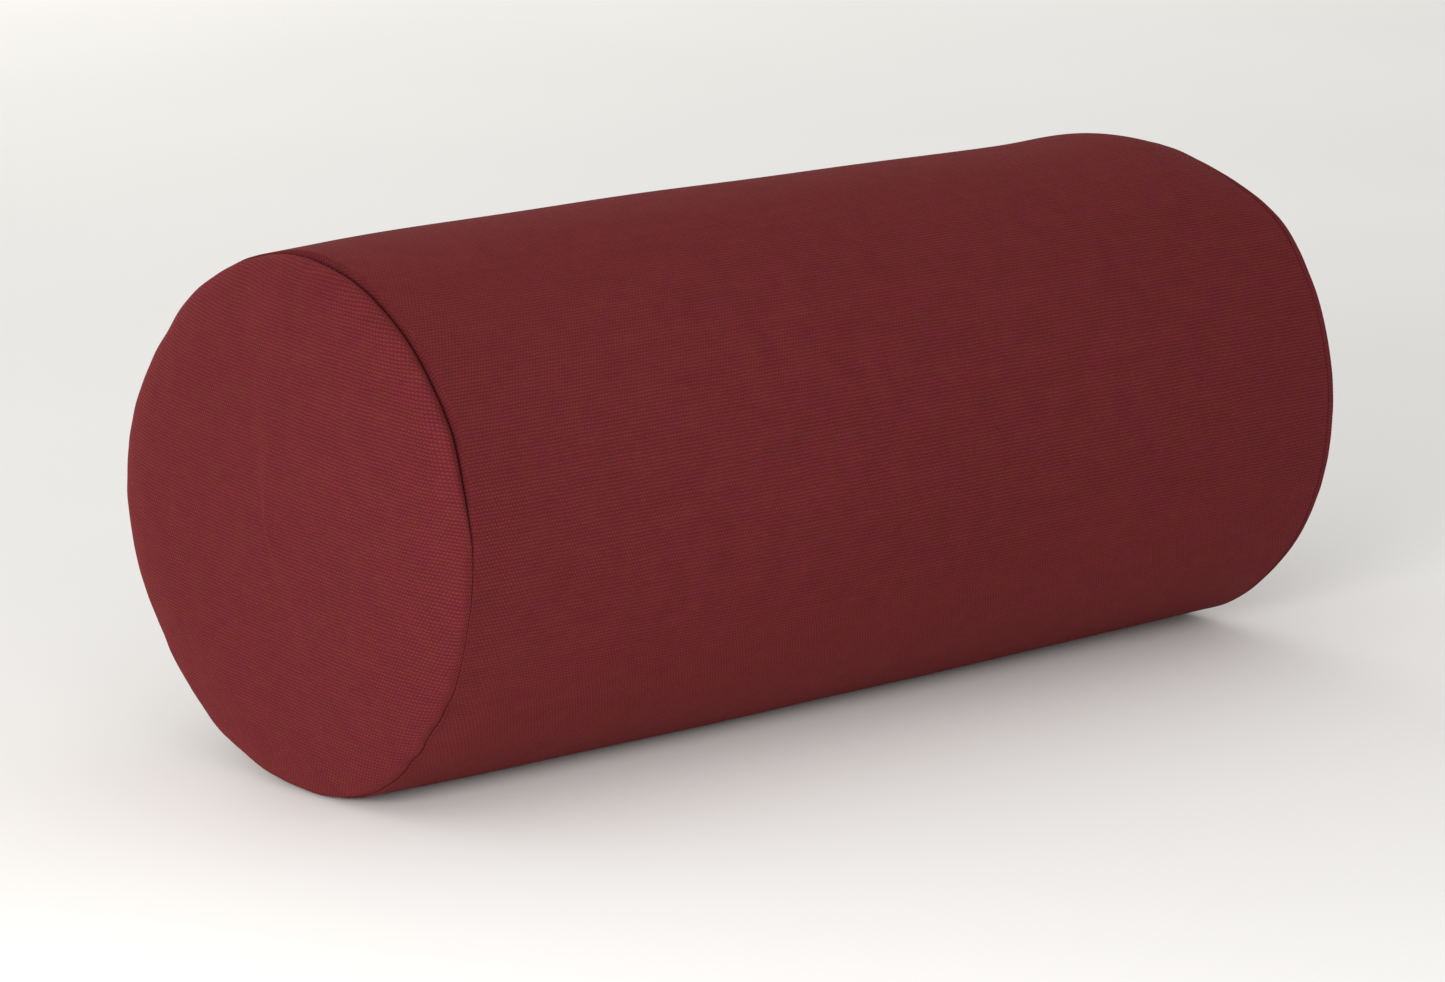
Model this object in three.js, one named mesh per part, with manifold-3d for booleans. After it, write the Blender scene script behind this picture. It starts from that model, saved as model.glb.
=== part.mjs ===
// Round bolster pillow, 152 mm in diameter and about 350 mm long, lying on its side.
//
// A foam cylinder is wrapped in polyester batting and closed in a woven cover. The cover is one body
// panel rolled into a tube and two round end panels, joined by plain turned-in seams. A coil zipper
// runs along the back of the tube, between the folded edges of the body panel, so the core comes out.
//
// Frame, in millimetres: +X along the bolster, +Z up, the zipper on the +Y side, and the origin at
// the middle of the narrow flat that the bolster rests on. "Upper" is +Z and "left" is -X.

import * as THREE from "three";
import { mergeVertices } from "three/addons/utils/BufferGeometryUtils.js";
import Module from "manifold-3d";

const wasm = await Module();
wasm.setup();

// ---- driving dimensions -------------------------------------------------------------------------
const R = 76; // outer radius of the cover
const SAG = 2.5; // how far the bottom is pressed flat under the bolster's own weight
const ZC = R - SAG; // height of the axis
const HALF_SEAM = 163.4; // half the distance between the two end seams
const DOME = 11.3; // how far each end panel stands out past its seam
const DOME_POWER = 3.9; // how square the end panel's shoulder is
const CLOTH = 0.9; // thickness of the cover cloth
const GAP = 0.3; // clearance between neighbouring pieces
const CORE_R = 63.5;
const CORE_L = 320;
const ALLOWANCE = 9.7; // seam allowance, turned in at each end seam
const HEM = 15; // allowance folded under along the zipper
const SLIT = 6.3; // half the width of the zipper opening
const OPEN_HALF = 138; // half the length of the zipper opening
const TAPE_OUT = 73.6; // outer face of the zipper tape
const TAPE_T = 0.6;
const TAPE_W = 16; // from the middle of the zipper to a tape's outer edge
const TAPE_HALF_L = 150;
const COIL_IN = 73.9;
const COIL_OUT = 76.0;
const COIL_IN_S = 0.9; // from the middle of the closed chain to a coil half's inner edge
const COIL_W = 3.0; // and to its outer edge
const CHAIN_START = -130; // bottom end of the chain
const SLIDER_X = 122; // slider with the zipper closed
const SLIDER_HALF = 6;
const PLATE_Y = 76.4; // underside of the slider's top plate
const PLATE_T = 1.2;
const NOSE_W = 5.3;
const TAIL_W = 4.3;
const PIVOT_Y = 78.45; // axis of the pull tab's cross bar
const BAR_R = 0.55;
const TAB_L = 24;
const SEGMENTS = 64;

// ---- materials ----------------------------------------------------------------------------------
const mat = (color, roughness, metalness = 0) =>
  new THREE.MeshStandardMaterial({ color, roughness, metalness });
const M = {
  cloth: mat(0x742c31, 0.85),
  foam: mat(0xe9e2c4, 0.95),
  batting: mat(0xf3f2ee, 0.95),
  tape: mat(0x5e2328, 0.85),
  coil: mat(0x682529, 0.45),
  metal: mat(0x8d8577, 0.35, 1),
  thread: mat(0x6a262b, 0.7),
  label: mat(0xece9e2, 0.7),
};

// ---- helpers ------------------------------------------------------------------------------------
const group = new THREE.Group();
function add(name, geometry, material, parent = group) {
  const mesh = new THREE.Mesh(geometry, material);
  mesh.name = name;
  parent.add(mesh);
  return mesh;
}

// Points on a circle of radius r round the axis, from angle a to angle b in degrees, measured from
// +Y towards +Z: the two ends, every multiple of the step between them, and the marks where another
// section of the same piece turns a corner. The flat at the bottom is kept as one straight chord.
const deg = (s, r = R) => ((s / r) * 180) / Math.PI;
function arc(r, a, b, { flat = true, step = 360 / SEGMENTS, marks = [] } = {}) {
  const edge = (Math.acos((r - SAG) / r) * 180) / Math.PI; // half angle of the flat
  const offFlat = (d) => Math.min(Math.abs(d + 90), Math.abs(d - 270)) - edge;
  const [lo, hi] = [Math.min(a, b), Math.max(a, b)];
  const fixed = [lo, hi, ...marks.flatMap((m) => [-m, m, 360 - m, 360 + m])];
  if (flat) fixed.push(-90 - edge, -90 + edge, 270 - edge, 270 + edge);
  const angles = fixed.filter((d, i) => d >= lo && d <= hi && fixed.indexOf(d) === i);
  const kept = [...angles];
  for (let k = Math.ceil(lo / step); k * step < hi; k++)
    if (angles.every((d) => Math.abs(d - k * step) > 0.35)) kept.push(k * step);
  return kept
    .filter((d) => !flat || offFlat(d) > -1e-9)
    .sort((p, q) => (b > a ? p - q : q - p))
    .map((d) => {
      const t = (d * Math.PI) / 180;
      return new THREE.Vector2(r * Math.cos(t), r * Math.sin(t));
    });
}

// A section drawn in the Y-Z plane round the axis, drawn out along X from x0 to x1.
const SECTION = new THREE.Matrix4().makeBasis(
  new THREE.Vector3(0, 1, 0),
  new THREE.Vector3(0, 0, 1),
  new THREE.Vector3(1, 0, 0),
);
function prism(points, x0, x1) {
  const g = new THREE.ExtrudeGeometry(new THREE.Shape(points), {
    depth: x1 - x0,
    bevelEnabled: false,
    curveSegments: 1,
  });
  g.applyMatrix4(SECTION);
  g.translate(x0, 0, ZC);
  return g;
}

// A plan drawn in X and Z, with Z counted from the axis, drawn out along Y from y0 to y1.
const PLAN = new THREE.Matrix4().makeBasis(
  new THREE.Vector3(1, 0, 0),
  new THREE.Vector3(0, 0, 1),
  new THREE.Vector3(0, -1, 0),
);
function slab(points, y0, y1, holes = []) {
  const shape = new THREE.Shape(points.map(([x, z]) => new THREE.Vector2(x, z)));
  for (const h of holes)
    shape.holes.push(new THREE.Path(h.map(([x, z]) => new THREE.Vector2(x, z))));
  const g = new THREE.ExtrudeGeometry(shape, {
    depth: y1 - y0,
    bevelEnabled: false,
    curveSegments: 1,
  });
  g.applyMatrix4(PLAN);
  g.translate(0, y1, 0);
  return g;
}
const box = (x0, x1, y0, y1, z0, z1) =>
  new THREE.BoxGeometry(x1 - x0, y1 - y0, z1 - z0).translate(
    (x0 + x1) / 2,
    (y0 + y1) / 2,
    (z0 + z1) / 2,
  );

// A profile of [distance past the end seam, radius, depth below the skin] turned round the axis, on
// the side given by sign, with its bottom pressed flat like the body.
function turned(profile, sign) {
  const g = new THREE.LatheGeometry(
    profile.map(([d, r]) => new THREE.Vector2(r, d)),
    SEGMENTS,
  );
  const p = g.getAttribute("position");
  for (let i = 0; i < p.count; i++) {
    const [, r, depth] = profile[i % profile.length];
    const along = p.getY(i);
    const y = p.getX(i);
    let z = p.getZ(i);
    if (depth !== undefined && r > 50) z = Math.max(z, -(ZC - depth));
    p.setXYZ(i, sign * (HALF_SEAM + along), y, z + ZC);
  }
  return g;
}

// three.js geometry to a manifold solid and back, for joining pieces of one sheet.
function solid(geometry) {
  let g = geometry.index ? geometry.toNonIndexed() : geometry.clone();
  g.deleteAttribute("normal");
  g.deleteAttribute("uv");
  g = mergeVertices(g, 1e-4);
  return new wasm.Manifold(
    new wasm.Mesh({
      numProp: 3,
      vertProperties: new Float32Array(g.getAttribute("position").array),
      triVerts: new Uint32Array(g.index.array),
    }),
  );
}
function geometryOf(manifold) {
  const m = manifold.getMesh();
  const g = new THREE.BufferGeometry();
  const xyz = new Float32Array(m.numVert * 3);
  for (let i = 0; i < m.numVert; i++)
    xyz.set(m.vertProperties.subarray(i * m.numProp, i * m.numProp + 3), i * 3);
  g.setAttribute("position", new THREE.BufferAttribute(xyz, 3));
  g.setIndex(new THREE.BufferAttribute(new Uint32Array(m.triVerts), 1));
  return g;
}
const join = (...geometries) =>
  geometryOf(geometries.map(solid).reduce((a, b) => a.add(b)));

// ---- core: foam cylinder, batting wrapped round it, batting disc over each end ---------------------
const core = add(
  "foam_core",
  new THREE.CylinderGeometry(CORE_R, CORE_R, CORE_L, SEGMENTS),
  M.foam,
);
core.rotation.z = -Math.PI / 2;
core.position.set(0, 0, ZC);

const WRAP_R = R - CLOTH - GAP;
const CHANNEL_R = 70.9; // the batting is pressed in under the zipper
const CHANNEL = deg(19);
const BUTT = -50; // where the batting sheet's two edges meet
const BUTT_GAP = 0.4;
add(
  "batting_wrap",
  prism(
    [
      ...arc(WRAP_R, BUTT + BUTT_GAP, -CHANNEL),
      ...arc(CHANNEL_R, -CHANNEL, CHANNEL),
      ...arc(WRAP_R, CHANNEL, 360 + BUTT - BUTT_GAP),
      ...arc(CORE_R + GAP, 360 + BUTT - BUTT_GAP, BUTT + BUTT_GAP, { flat: false }),
    ],
    -(HALF_SEAM - 2.4),
    HALF_SEAM - 2.4,
  ),
  M.batting,
);

// The end panel's outer line, from its rim to its middle: distance past the seam against radius.
const RIM = R - GAP;
const outer = [];
const STEPS = 9;
for (let i = 0; i <= STEPS; i++) {
  const t = (i / STEPS) * (Math.PI / 2);
  const r = RIM * Math.pow(Math.cos(t), 2 / DOME_POWER);
  outer.push([GAP + (DOME - GAP) * Math.sin(t), i === STEPS ? 0 : r]);
}
// The same line moved inwards by t, beginning at the distance d0 past the seam.
function inside(t, d0) {
  const moved = outer.map(([d, r], i) => {
    if (i === outer.length - 1) return [d - t, 0];
    const [d1, r1] = outer[Math.max(0, i - 1)];
    const [d2, r2] = outer[i + 1];
    const l = Math.hypot(d2 - d1, r2 - r1);
    return [d + ((r2 - r1) / l) * t, r - ((d2 - d1) / l) * t];
  });
  const first = moved.findIndex(([d]) => d > d0);
  const [da, ra] = moved[first - 1];
  const [db, rb] = moved[first];
  const rest = moved.slice(db - d0 < 0.4 ? first + 1 : first);
  return [[d0, ra + ((rb - ra) * (d0 - da)) / (db - da)], ...rest];
}
const flangeTop = GAP + CLOTH;
const skinIn = inside(CLOTH, flangeTop);
const endPanel = [
  ...outer.map(([d, r]) => [d, r, 0]).reverse(),
  [GAP, RIM - ALLOWANCE],
  [flangeTop, RIM - ALLOWANCE],
  ...skinIn.map(([d, r]) => [d, r, CLOTH]),
];
const DISC_IN = CLOTH + 0.6;
const discOut = inside(DISC_IN, flangeTop + GAP);
const endDisc = [
  ...discOut.map(([d, r]) => [d, r, DISC_IN]).reverse(),
  [flangeTop + GAP, CORE_R],
  [CORE_L / 2 + GAP - HALF_SEAM, CORE_R],
  [CORE_L / 2 + GAP - HALF_SEAM, 0],
];
for (const [side, sign] of [
  ["left", -1],
  ["right", 1],
]) {
  const order = (p) => (sign > 0 ? p : [...p].reverse());
  add(side + "_end_batting", turned(order(endDisc), sign), M.batting);
  add(side + "_end_panel", turned(order(endPanel), sign), M.cloth);
  // Lockstitch thread of the end seam, on the body panel's turned-in edge.
  const thread = [
    [-1.2, 73.0, R - 73.0],
    [-1.2, 73.5, R - 73.5],
    [-1.7, 73.5, R - 73.5],
    [-1.7, 73.0, R - 73.0],
    [-1.2, 73.0, R - 73.0],
  ];
  add(side + "_seam_thread", turned(order(thread), sign), M.thread);
}

// ---- body panel: one rectangle of cloth rolled into a tube, its edges folded under at the zipper ---
const SHUT = 0.15;
const HEM_END = deg(SLIT + HEM - 3);
const marks = [SHUT, SHUT + CLOTH, SLIT, SLIT + CLOTH].map((m) => deg(m)).concat(HEM_END);
const cut = { marks };
function panelSection(slit) {
  const s = deg(slit);
  const s2 = deg(slit + CLOTH);
  const r1 = R - CLOTH; // inner face of the cloth
  const r2 = r1 - GAP; // outer face of the folded edge
  const r3 = r2 - CLOTH;
  return [
    ...arc(R, s, 360 - s, cut),
    ...arc(r3, 360 - s, 360 - HEM_END, cut),
    ...arc(r2, 360 - HEM_END, 360 - s2, cut),
    ...arc(r1, 360 - s2, s2, cut),
    ...arc(r2, s2, HEM_END, cut),
    ...arc(r3, HEM_END, s, cut),
  ];
}
function flange(x0, x1) {
  const s = deg(SHUT);
  return prism(
    [
      ...arc(R - 0.2, s, 360 - s, cut),
      ...arc(R - ALLOWANCE, 360 - s, s, { flat: false, marks }),
    ],
    x0,
    x1,
  );
}
add(
  "body_panel",
  join(
    prism(panelSection(SLIT), -OPEN_HALF, OPEN_HALF),
    prism(panelSection(SHUT), -HALF_SEAM, -OPEN_HALF),
    prism(panelSection(SHUT), OPEN_HALF, HALF_SEAM),
    flange(-HALF_SEAM, -HALF_SEAM + CLOTH),
    flange(HALF_SEAM - CLOTH, HALF_SEAM),
  ),
  M.cloth,
);

// ---- zipper: two tapes, two coil halves, stops, topstitching, end tacks ----------------------------
const zip = new THREE.Group();
group.add(zip);
const zipAt = new THREE.Group(); // drawn round the axis height
zipAt.position.set(0, 0, ZC);
zip.add(zipAt);
for (const [side, sign] of [
  ["upper", 1],
  ["lower", -1],
]) {
  const a = deg(0.9, TAPE_OUT);
  const b = deg(TAPE_W, TAPE_OUT);
  const ring = [
    ...arc(TAPE_OUT, a, b, { flat: false, step: 3 }),
    ...arc(TAPE_OUT - TAPE_T, b, a, { flat: false, step: 3 }),
  ].map((p) => new THREE.Vector2(p.x, p.y * sign));
  add(
    "zipper_tape_" + side,
    prism(sign > 0 ? ring : ring.reverse(), -TAPE_HALF_L, TAPE_HALF_L),
    M.tape,
    zip,
  );
  // A coil half's outer shape: straight up to the slider, then spread outwards past it. The middle is
  // left clear for the slider's post.
  const x = SLIDER_X;
  const plan = [
    [CHAIN_START, COIL_IN_S],
    [x - 1.5, COIL_IN_S],
    [x + 2.0, COIL_IN_S + 0.3],
    [x + 7, COIL_IN_S + 0.6],
    [x + 7, COIL_W + 0.95],
    [x + 2.0, COIL_W + 0.95],
    [x - 1.5, COIL_W],
    [CHAIN_START, COIL_W],
  ].map(([px, pz]) => [px, pz * sign]);
  add("zipper_coil_" + side, slab(plan, COIL_IN, COIL_OUT), M.coil, zipAt);
  add(
    "zipper_top_stop_" + side,
    slab(
      [
        [x + 7.4, 1.1],
        [x + 10, 1.1],
        [x + 10, 3.95],
        [x + 7.4, 3.95],
      ].map(([px, pz]) => [px, pz * sign]),
      COIL_IN,
      COIL_OUT + 0.3,
    ),
    M.metal,
    zipAt,
  );
  // Topstitching through the cloth, its folded edge and the tape.
  const row = add(
    "zipper_topstitch_" + side,
    new THREE.BoxGeometry(2 * OPEN_HALF, 0.4, 0.6),
    M.thread,
    zipAt,
  );
  const t = (sign * 9.6) / R;
  row.position.set(0, (R + 0.55) * Math.cos(t), (R + 0.55) * Math.sin(t));
  row.rotation.x = t;
}
add(
  "zipper_bottom_stop",
  box(CHAIN_START - 3.3, CHAIN_START - 0.4, COIL_IN, COIL_OUT + 0.3, -4, 4),
  M.metal,
  zipAt,
);
for (const [side, sign] of [
  ["left", -1],
  ["right", 1],
]) {
  const a = deg(10);
  const x0 = OPEN_HALF + GAP;
  const points = [
    ...arc(R + 0.3, -a, a, { flat: false }),
    ...arc(R + 0.9, a, -a, { flat: false }),
  ].reverse();
  add(
    side + "_end_tack",
    prism(points, sign > 0 ? x0 : -x0 - 2, sign > 0 ? x0 + 2 : -x0),
    M.thread,
    zip,
  );
}
// Blank sewn-in care label, from the closed stretch of the back seam.
add(
  "care_label",
  prism(
    [
      ...arc(R + 0.3, -deg(34), -0.3, { flat: false }),
      ...arc(R + 0.9, -0.3, -deg(34), { flat: false }),
    ].reverse(),
    -161,
    -143,
  ),
  M.label,
);

// ---- slider and its pull tab ----------------------------------------------------------------------
const x = SLIDER_X;
const L = SLIDER_HALF;
const shield = (grow = 0) => [
  [x - L, -TAIL_W + 1 - grow],
  [x - L + 1, -TAIL_W - grow],
  [x - 0.5, -TAIL_W - grow],
  [x + 2.5, -NOSE_W - grow],
  [x + L - 1.5, -NOSE_W - grow],
  [x + L, -NOSE_W + 1.8],
  [x + L, NOSE_W - 1.8],
  [x + L - 1.5, NOSE_W + grow],
  [x + 2.5, NOSE_W + grow],
  [x - 0.5, TAIL_W + grow],
  [x - L + 1, TAIL_W + grow],
  [x - L, TAIL_W - 1 + grow],
];
const side = (sign, y0, y1) =>
  slab(
    [
      [x - L + 1, TAIL_W],
      [x - 0.5, TAIL_W],
      [x + 2.5, NOSE_W],
      [x + L - 1.5, NOSE_W],
      [x + L - 1.5, NOSE_W - 0.9],
      [x + 2.5, NOSE_W - 0.9],
      [x - 0.5, TAIL_W - 0.9],
      [x - L + 1, TAIL_W - 0.9],
    ].map(([px, pz]) => [px, pz * sign]),
    y0,
    y1,
  );
const bottomY = TAPE_OUT - TAPE_T - GAP; // top of the slider's bottom plate
const plateTop = PLATE_Y + PLATE_T;
const archIn = PIVOT_Y + BAR_R + GAP;
const slider = join(
  slab(shield(), PLATE_Y, plateTop),
  slab(shield(), bottomY - PLATE_T, bottomY),
  side(1, TAPE_OUT + GAP, PLATE_Y + 0.1),
  side(-1, TAPE_OUT + GAP, PLATE_Y + 0.1),
  // the post between the plates, where the two halves of the chain part
  slab(
    [
      [x + 2.2, 0],
      [x + 3.2, -0.55],
      [x + 5.4, -0.55],
      [x + 5.4, 0.55],
      [x + 3.2, 0.55],
    ],
    bottomY - 0.1,
    PLATE_Y + 0.1,
  ),
  // the bail over the pull tab's cross bar
  box(x - 4.4, x - 3.2, plateTop - 0.1, archIn + 0.1, -1.1, 1.1),
  box(x + 3.2, x + 4.4, plateTop - 0.1, archIn + 0.1, -1.1, 1.1),
  box(x - 4.4, x + 4.4, archIn, archIn + 1, -1.1, 1.1),
);
add("zipper_slider", slider, M.metal, zipAt);

const tabY0 = PIVOT_Y - BAR_R;
const tabY1 = PIVOT_Y + BAR_R;
const tab = join(
  slab(
    [
      [x - TAB_L, -2.2],
      [x - TAB_L + 1.2, -3.4],
      [x - 16, -3.4],
      [x - 6, -2.7],
      [x, -2.7],
      [x, 2.7],
      [x - 6, 2.7],
      [x - 16, 3.4],
      [x - TAB_L + 1.2, 3.4],
      [x - TAB_L, 2.2],
    ],
    tabY0,
    tabY1,
    [
      [
        [x - 5.2, -1.5],
        [x - 0.5, -1.5],
        [x - 0.5, 1.5],
        [x - 5.2, 1.5],
      ],
    ],
  ),
  new THREE.CylinderGeometry(BAR_R, BAR_R, 5.4, 16)
    .rotateX(Math.PI / 2)
    .translate(x, PIVOT_Y, 0),
);
add("zipper_pull_tab", tab, M.metal, zipAt);

export default group;
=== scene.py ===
import math

import bmesh
import bpy
import numpy as np
from mathutils import Matrix, Vector
from mathutils.bvhtree import BVHTree


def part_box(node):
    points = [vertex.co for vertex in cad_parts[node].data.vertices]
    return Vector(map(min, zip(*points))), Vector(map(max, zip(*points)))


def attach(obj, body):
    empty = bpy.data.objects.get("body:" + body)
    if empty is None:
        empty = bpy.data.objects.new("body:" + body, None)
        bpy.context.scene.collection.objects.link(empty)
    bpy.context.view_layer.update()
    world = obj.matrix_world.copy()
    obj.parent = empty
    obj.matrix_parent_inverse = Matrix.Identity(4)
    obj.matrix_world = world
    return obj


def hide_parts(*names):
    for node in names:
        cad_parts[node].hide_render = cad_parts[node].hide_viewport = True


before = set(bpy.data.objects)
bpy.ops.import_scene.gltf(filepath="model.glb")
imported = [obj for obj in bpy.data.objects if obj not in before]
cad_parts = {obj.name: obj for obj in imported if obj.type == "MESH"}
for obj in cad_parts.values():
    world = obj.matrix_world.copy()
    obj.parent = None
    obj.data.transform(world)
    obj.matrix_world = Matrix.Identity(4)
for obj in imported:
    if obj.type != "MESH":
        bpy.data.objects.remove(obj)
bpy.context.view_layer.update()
MM = 0.001
PI = math.pi


def span(node):
    lo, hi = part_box(node)
    return np.array([float(v) for v in lo]), np.array([float(v) for v in hi])


# ---- sizes, all from the CAD nodes ----------------------------------------------------------------
lo, hi = span("body_panel")
R = (hi[1] - lo[1]) / 2  # outer radius of the cover
HALF = hi[0]  # end seams are just past this
ZC = hi[2] - R  # height of the axis
SAG = R - ZC  # depth of the flat at the bottom
SEAM = HALF + 0.15 * MM  # the seam's own plane
DOME = span("right_end_panel")[1][0] - SEAM
CLOTH = 0.9 * MM
CORE_LO, CORE_HI = span("foam_core")
CORE_R = (CORE_HI[1] - CORE_LO[1]) / 2
SL_LO, SL_HI = span("zipper_slider")
TAB_LO, TAB_HI = span("zipper_pull_tab")
SX = (SL_LO[0] + SL_HI[0]) / 2  # slider's middle
CHAIN_LO, CHAIN_HI = span("zipper_coil_upper")
OPEN = span("zipper_topstitch_upper")[1][0]  # half length of the zipper opening
SLIT = 6.3 * MM
ROW = 9.6 * MM  # topstitching, from the middle of the zipper


# ---- small tools ----------------------------------------------------------------------------------
def link(obj):
    bpy.context.scene.collection.objects.link(obj)
    return obj


def mesh_object(name, verts, faces, uv=None, smooth=True, mats=()):
    me = bpy.data.meshes.new(name)
    me.from_pydata([tuple(map(float, v)) for v in verts], [], [tuple(f) for f in faces])
    if uv is not None:
        layer = me.uv_layers.new(name="weave")
        idx = np.empty(len(me.loops), dtype=np.int32)
        me.loops.foreach_get("vertex_index", idx)
        layer.data.foreach_set("uv", np.asarray(uv, dtype=np.float32)[idx].ravel())
    bm = bmesh.new()
    bm.from_mesh(me)
    bmesh.ops.recalc_face_normals(bm, faces=bm.faces)
    bm.to_mesh(me)
    bm.free()
    me.polygons.foreach_set("use_smooth", [smooth] * len(me.polygons))
    for m in mats:
        me.materials.append(m)
    me.update()
    return link(bpy.data.objects.new(name, me))


def strip(nu, nv, offset=0, wrap_v=False, flip=False):
    """Quads of a grid of nu by nv vertices."""
    i = np.arange(nu - 1)[:, None]
    j = np.arange(nv if wrap_v else nv - 1)[None, :]
    k = (j + 1) % nv
    a, b = i * nv + j, (i + 1) * nv + j
    c, d = (i + 1) * nv + k, i * nv + k
    quads = np.stack([a, b, c, d], -1).reshape(-1, 4) + offset
    return (quads[:, ::-1] if flip else quads).tolist()


def shell(name, A, B, uv, wrap_v, mats):
    """A closed sheet with its outer side A and inner side B, both (nu, nv, 3)."""
    nu, nv, _ = A.shape
    n = nu * nv
    verts = np.concatenate([A.reshape(-1, 3), B.reshape(-1, 3)])
    faces = strip(nu, nv, 0, wrap_v) + strip(nu, nv, n, wrap_v, flip=True)
    for row in (0, nu - 1):
        for j in range(nv if wrap_v else nv - 1):
            k = (j + 1) % nv
            faces.append([row * nv + j, row * nv + k, n + row * nv + k, n + row * nv + j])
    if not wrap_v:
        for col in (0, nv - 1):
            for i in range(nu - 1):
                faces.append([i * nv + col, (i + 1) * nv + col, n + (i + 1) * nv + col, n + i * nv + col])
    uv = uv.reshape(-1, 2)
    return mesh_object(name, verts, faces, np.concatenate([uv, uv]), mats=mats)


def smoothstep(a, b, x):
    t = np.clip((x - a) / (b - a), 0, 1)
    return t * t * (3 - 2 * t)


def ripple(seed, count, around, along, amp):
    """A smooth random field on the tube: amp is about its largest value."""
    g = np.random.default_rng(seed)
    terms = [
        (int(g.integers(around[0], around[1] + 1)), g.uniform(*along), g.uniform(0, 2 * PI), g.uniform(0.6, 1))
        for _ in range(count)
    ]

    def field(x, th):
        total = 0
        for k, m, ph, w in terms:
            total = total + w * np.cos(k * th + 2 * PI * m * x + ph)
        return amp * total / math.sqrt(count) / 1.3

    return field


# ---- materials ------------------------------------------------------------------------------------
class Nodes:
    def __init__(self, name):
        self.mat = bpy.data.materials.new(name)
        self.mat.use_nodes = True
        self.t = self.mat.node_tree
        self.t.nodes.clear()
        self.out = self.t.nodes.new("ShaderNodeOutputMaterial")
        self.bsdf = self.t.nodes.new("ShaderNodeBsdfPrincipled")
        self.t.links.new(self.bsdf.outputs[0], self.out.inputs[0])

    def put(self, socket, value):
        if isinstance(value, bpy.types.NodeSocket):
            self.t.links.new(value, socket)
        elif value is not None:
            socket.default_value = value

    def math(self, op, a, b=None, c=None, clamp=False):
        n = self.t.nodes.new("ShaderNodeMath")
        n.operation = op
        n.use_clamp = clamp
        for s, v in zip(n.inputs, (a, b, c)):
            self.put(s, v)
        return n.outputs[0]

    def mix(self, fac, a, b, blend="MIX"):
        n = self.t.nodes.new("ShaderNodeMix")
        n.data_type = "RGBA"
        n.blend_type = blend
        self.put(n.inputs["Factor"], fac)
        self.put([s for s in n.inputs if s.name == "A" and s.type == "RGBA"][0], a)
        self.put([s for s in n.inputs if s.name == "B" and s.type == "RGBA"][0], b)
        return [s for s in n.outputs if s.type == "RGBA"][0]

    def xyz(self, x, y, z=0.0):
        n = self.t.nodes.new("ShaderNodeCombineXYZ")
        for s, v in zip(n.inputs, (x, y, z)):
            self.put(s, v)
        return n.outputs[0]

    def split(self, v):
        n = self.t.nodes.new("ShaderNodeSeparateXYZ")
        self.put(n.inputs[0], v)
        return n.outputs

    def uv(self, name="weave"):
        n = self.t.nodes.new("ShaderNodeUVMap")
        n.uv_map = name
        return n.outputs[0]

    def place(self):
        return self.t.nodes.new("ShaderNodeTexCoord").outputs["Object"]

    def noise(self, vector, scale, detail=2.0, rough=0.5, dims="3D"):
        n = self.t.nodes.new("ShaderNodeTexNoise")
        n.noise_dimensions = dims
        self.put(n.inputs["Vector"], vector)
        n.inputs["Scale"].default_value = scale
        n.inputs["Detail"].default_value = detail
        n.inputs["Roughness"].default_value = rough
        return n.outputs["Fac"] if "Fac" in n.outputs else n.outputs[0]

    def white(self, value):
        n = self.t.nodes.new("ShaderNodeTexWhiteNoise")
        n.noise_dimensions = "1D"
        self.put(n.inputs["W"], value)
        return n.outputs["Value"]

    def ramp(self, fac, stops):
        n = self.t.nodes.new("ShaderNodeValToRGB")
        self.put(n.inputs[0], fac)
        e = n.color_ramp.elements
        while len(e) < len(stops):
            e.new(0.5)
        for el, (p, c) in zip(e, stops):
            el.position = p
            el.color = (*c, 1)
        return n.outputs[0]

    def remap(self, v, a, b, lo, hi):
        n = self.t.nodes.new("ShaderNodeMapRange")
        self.put(n.inputs[0], v)
        for k, x in zip((1, 2, 3, 4), (a, b, lo, hi)):
            n.inputs[k].default_value = x
        return n.outputs[0]

    def bump(self, height, distance, strength=1.0, normal=None):
        n = self.t.nodes.new("ShaderNodeBump")
        self.put(n.inputs["Height"], height)
        n.inputs["Distance"].default_value = distance
        n.inputs["Strength"].default_value = strength
        if normal is not None:
            self.put(n.inputs["Normal"], normal)
        return n.outputs[0]

    def set(self, **kw):
        for k, v in kw.items():
            self.put(self.bsdf.inputs[k.replace("_", " ")], v)
        return self.mat


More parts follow.
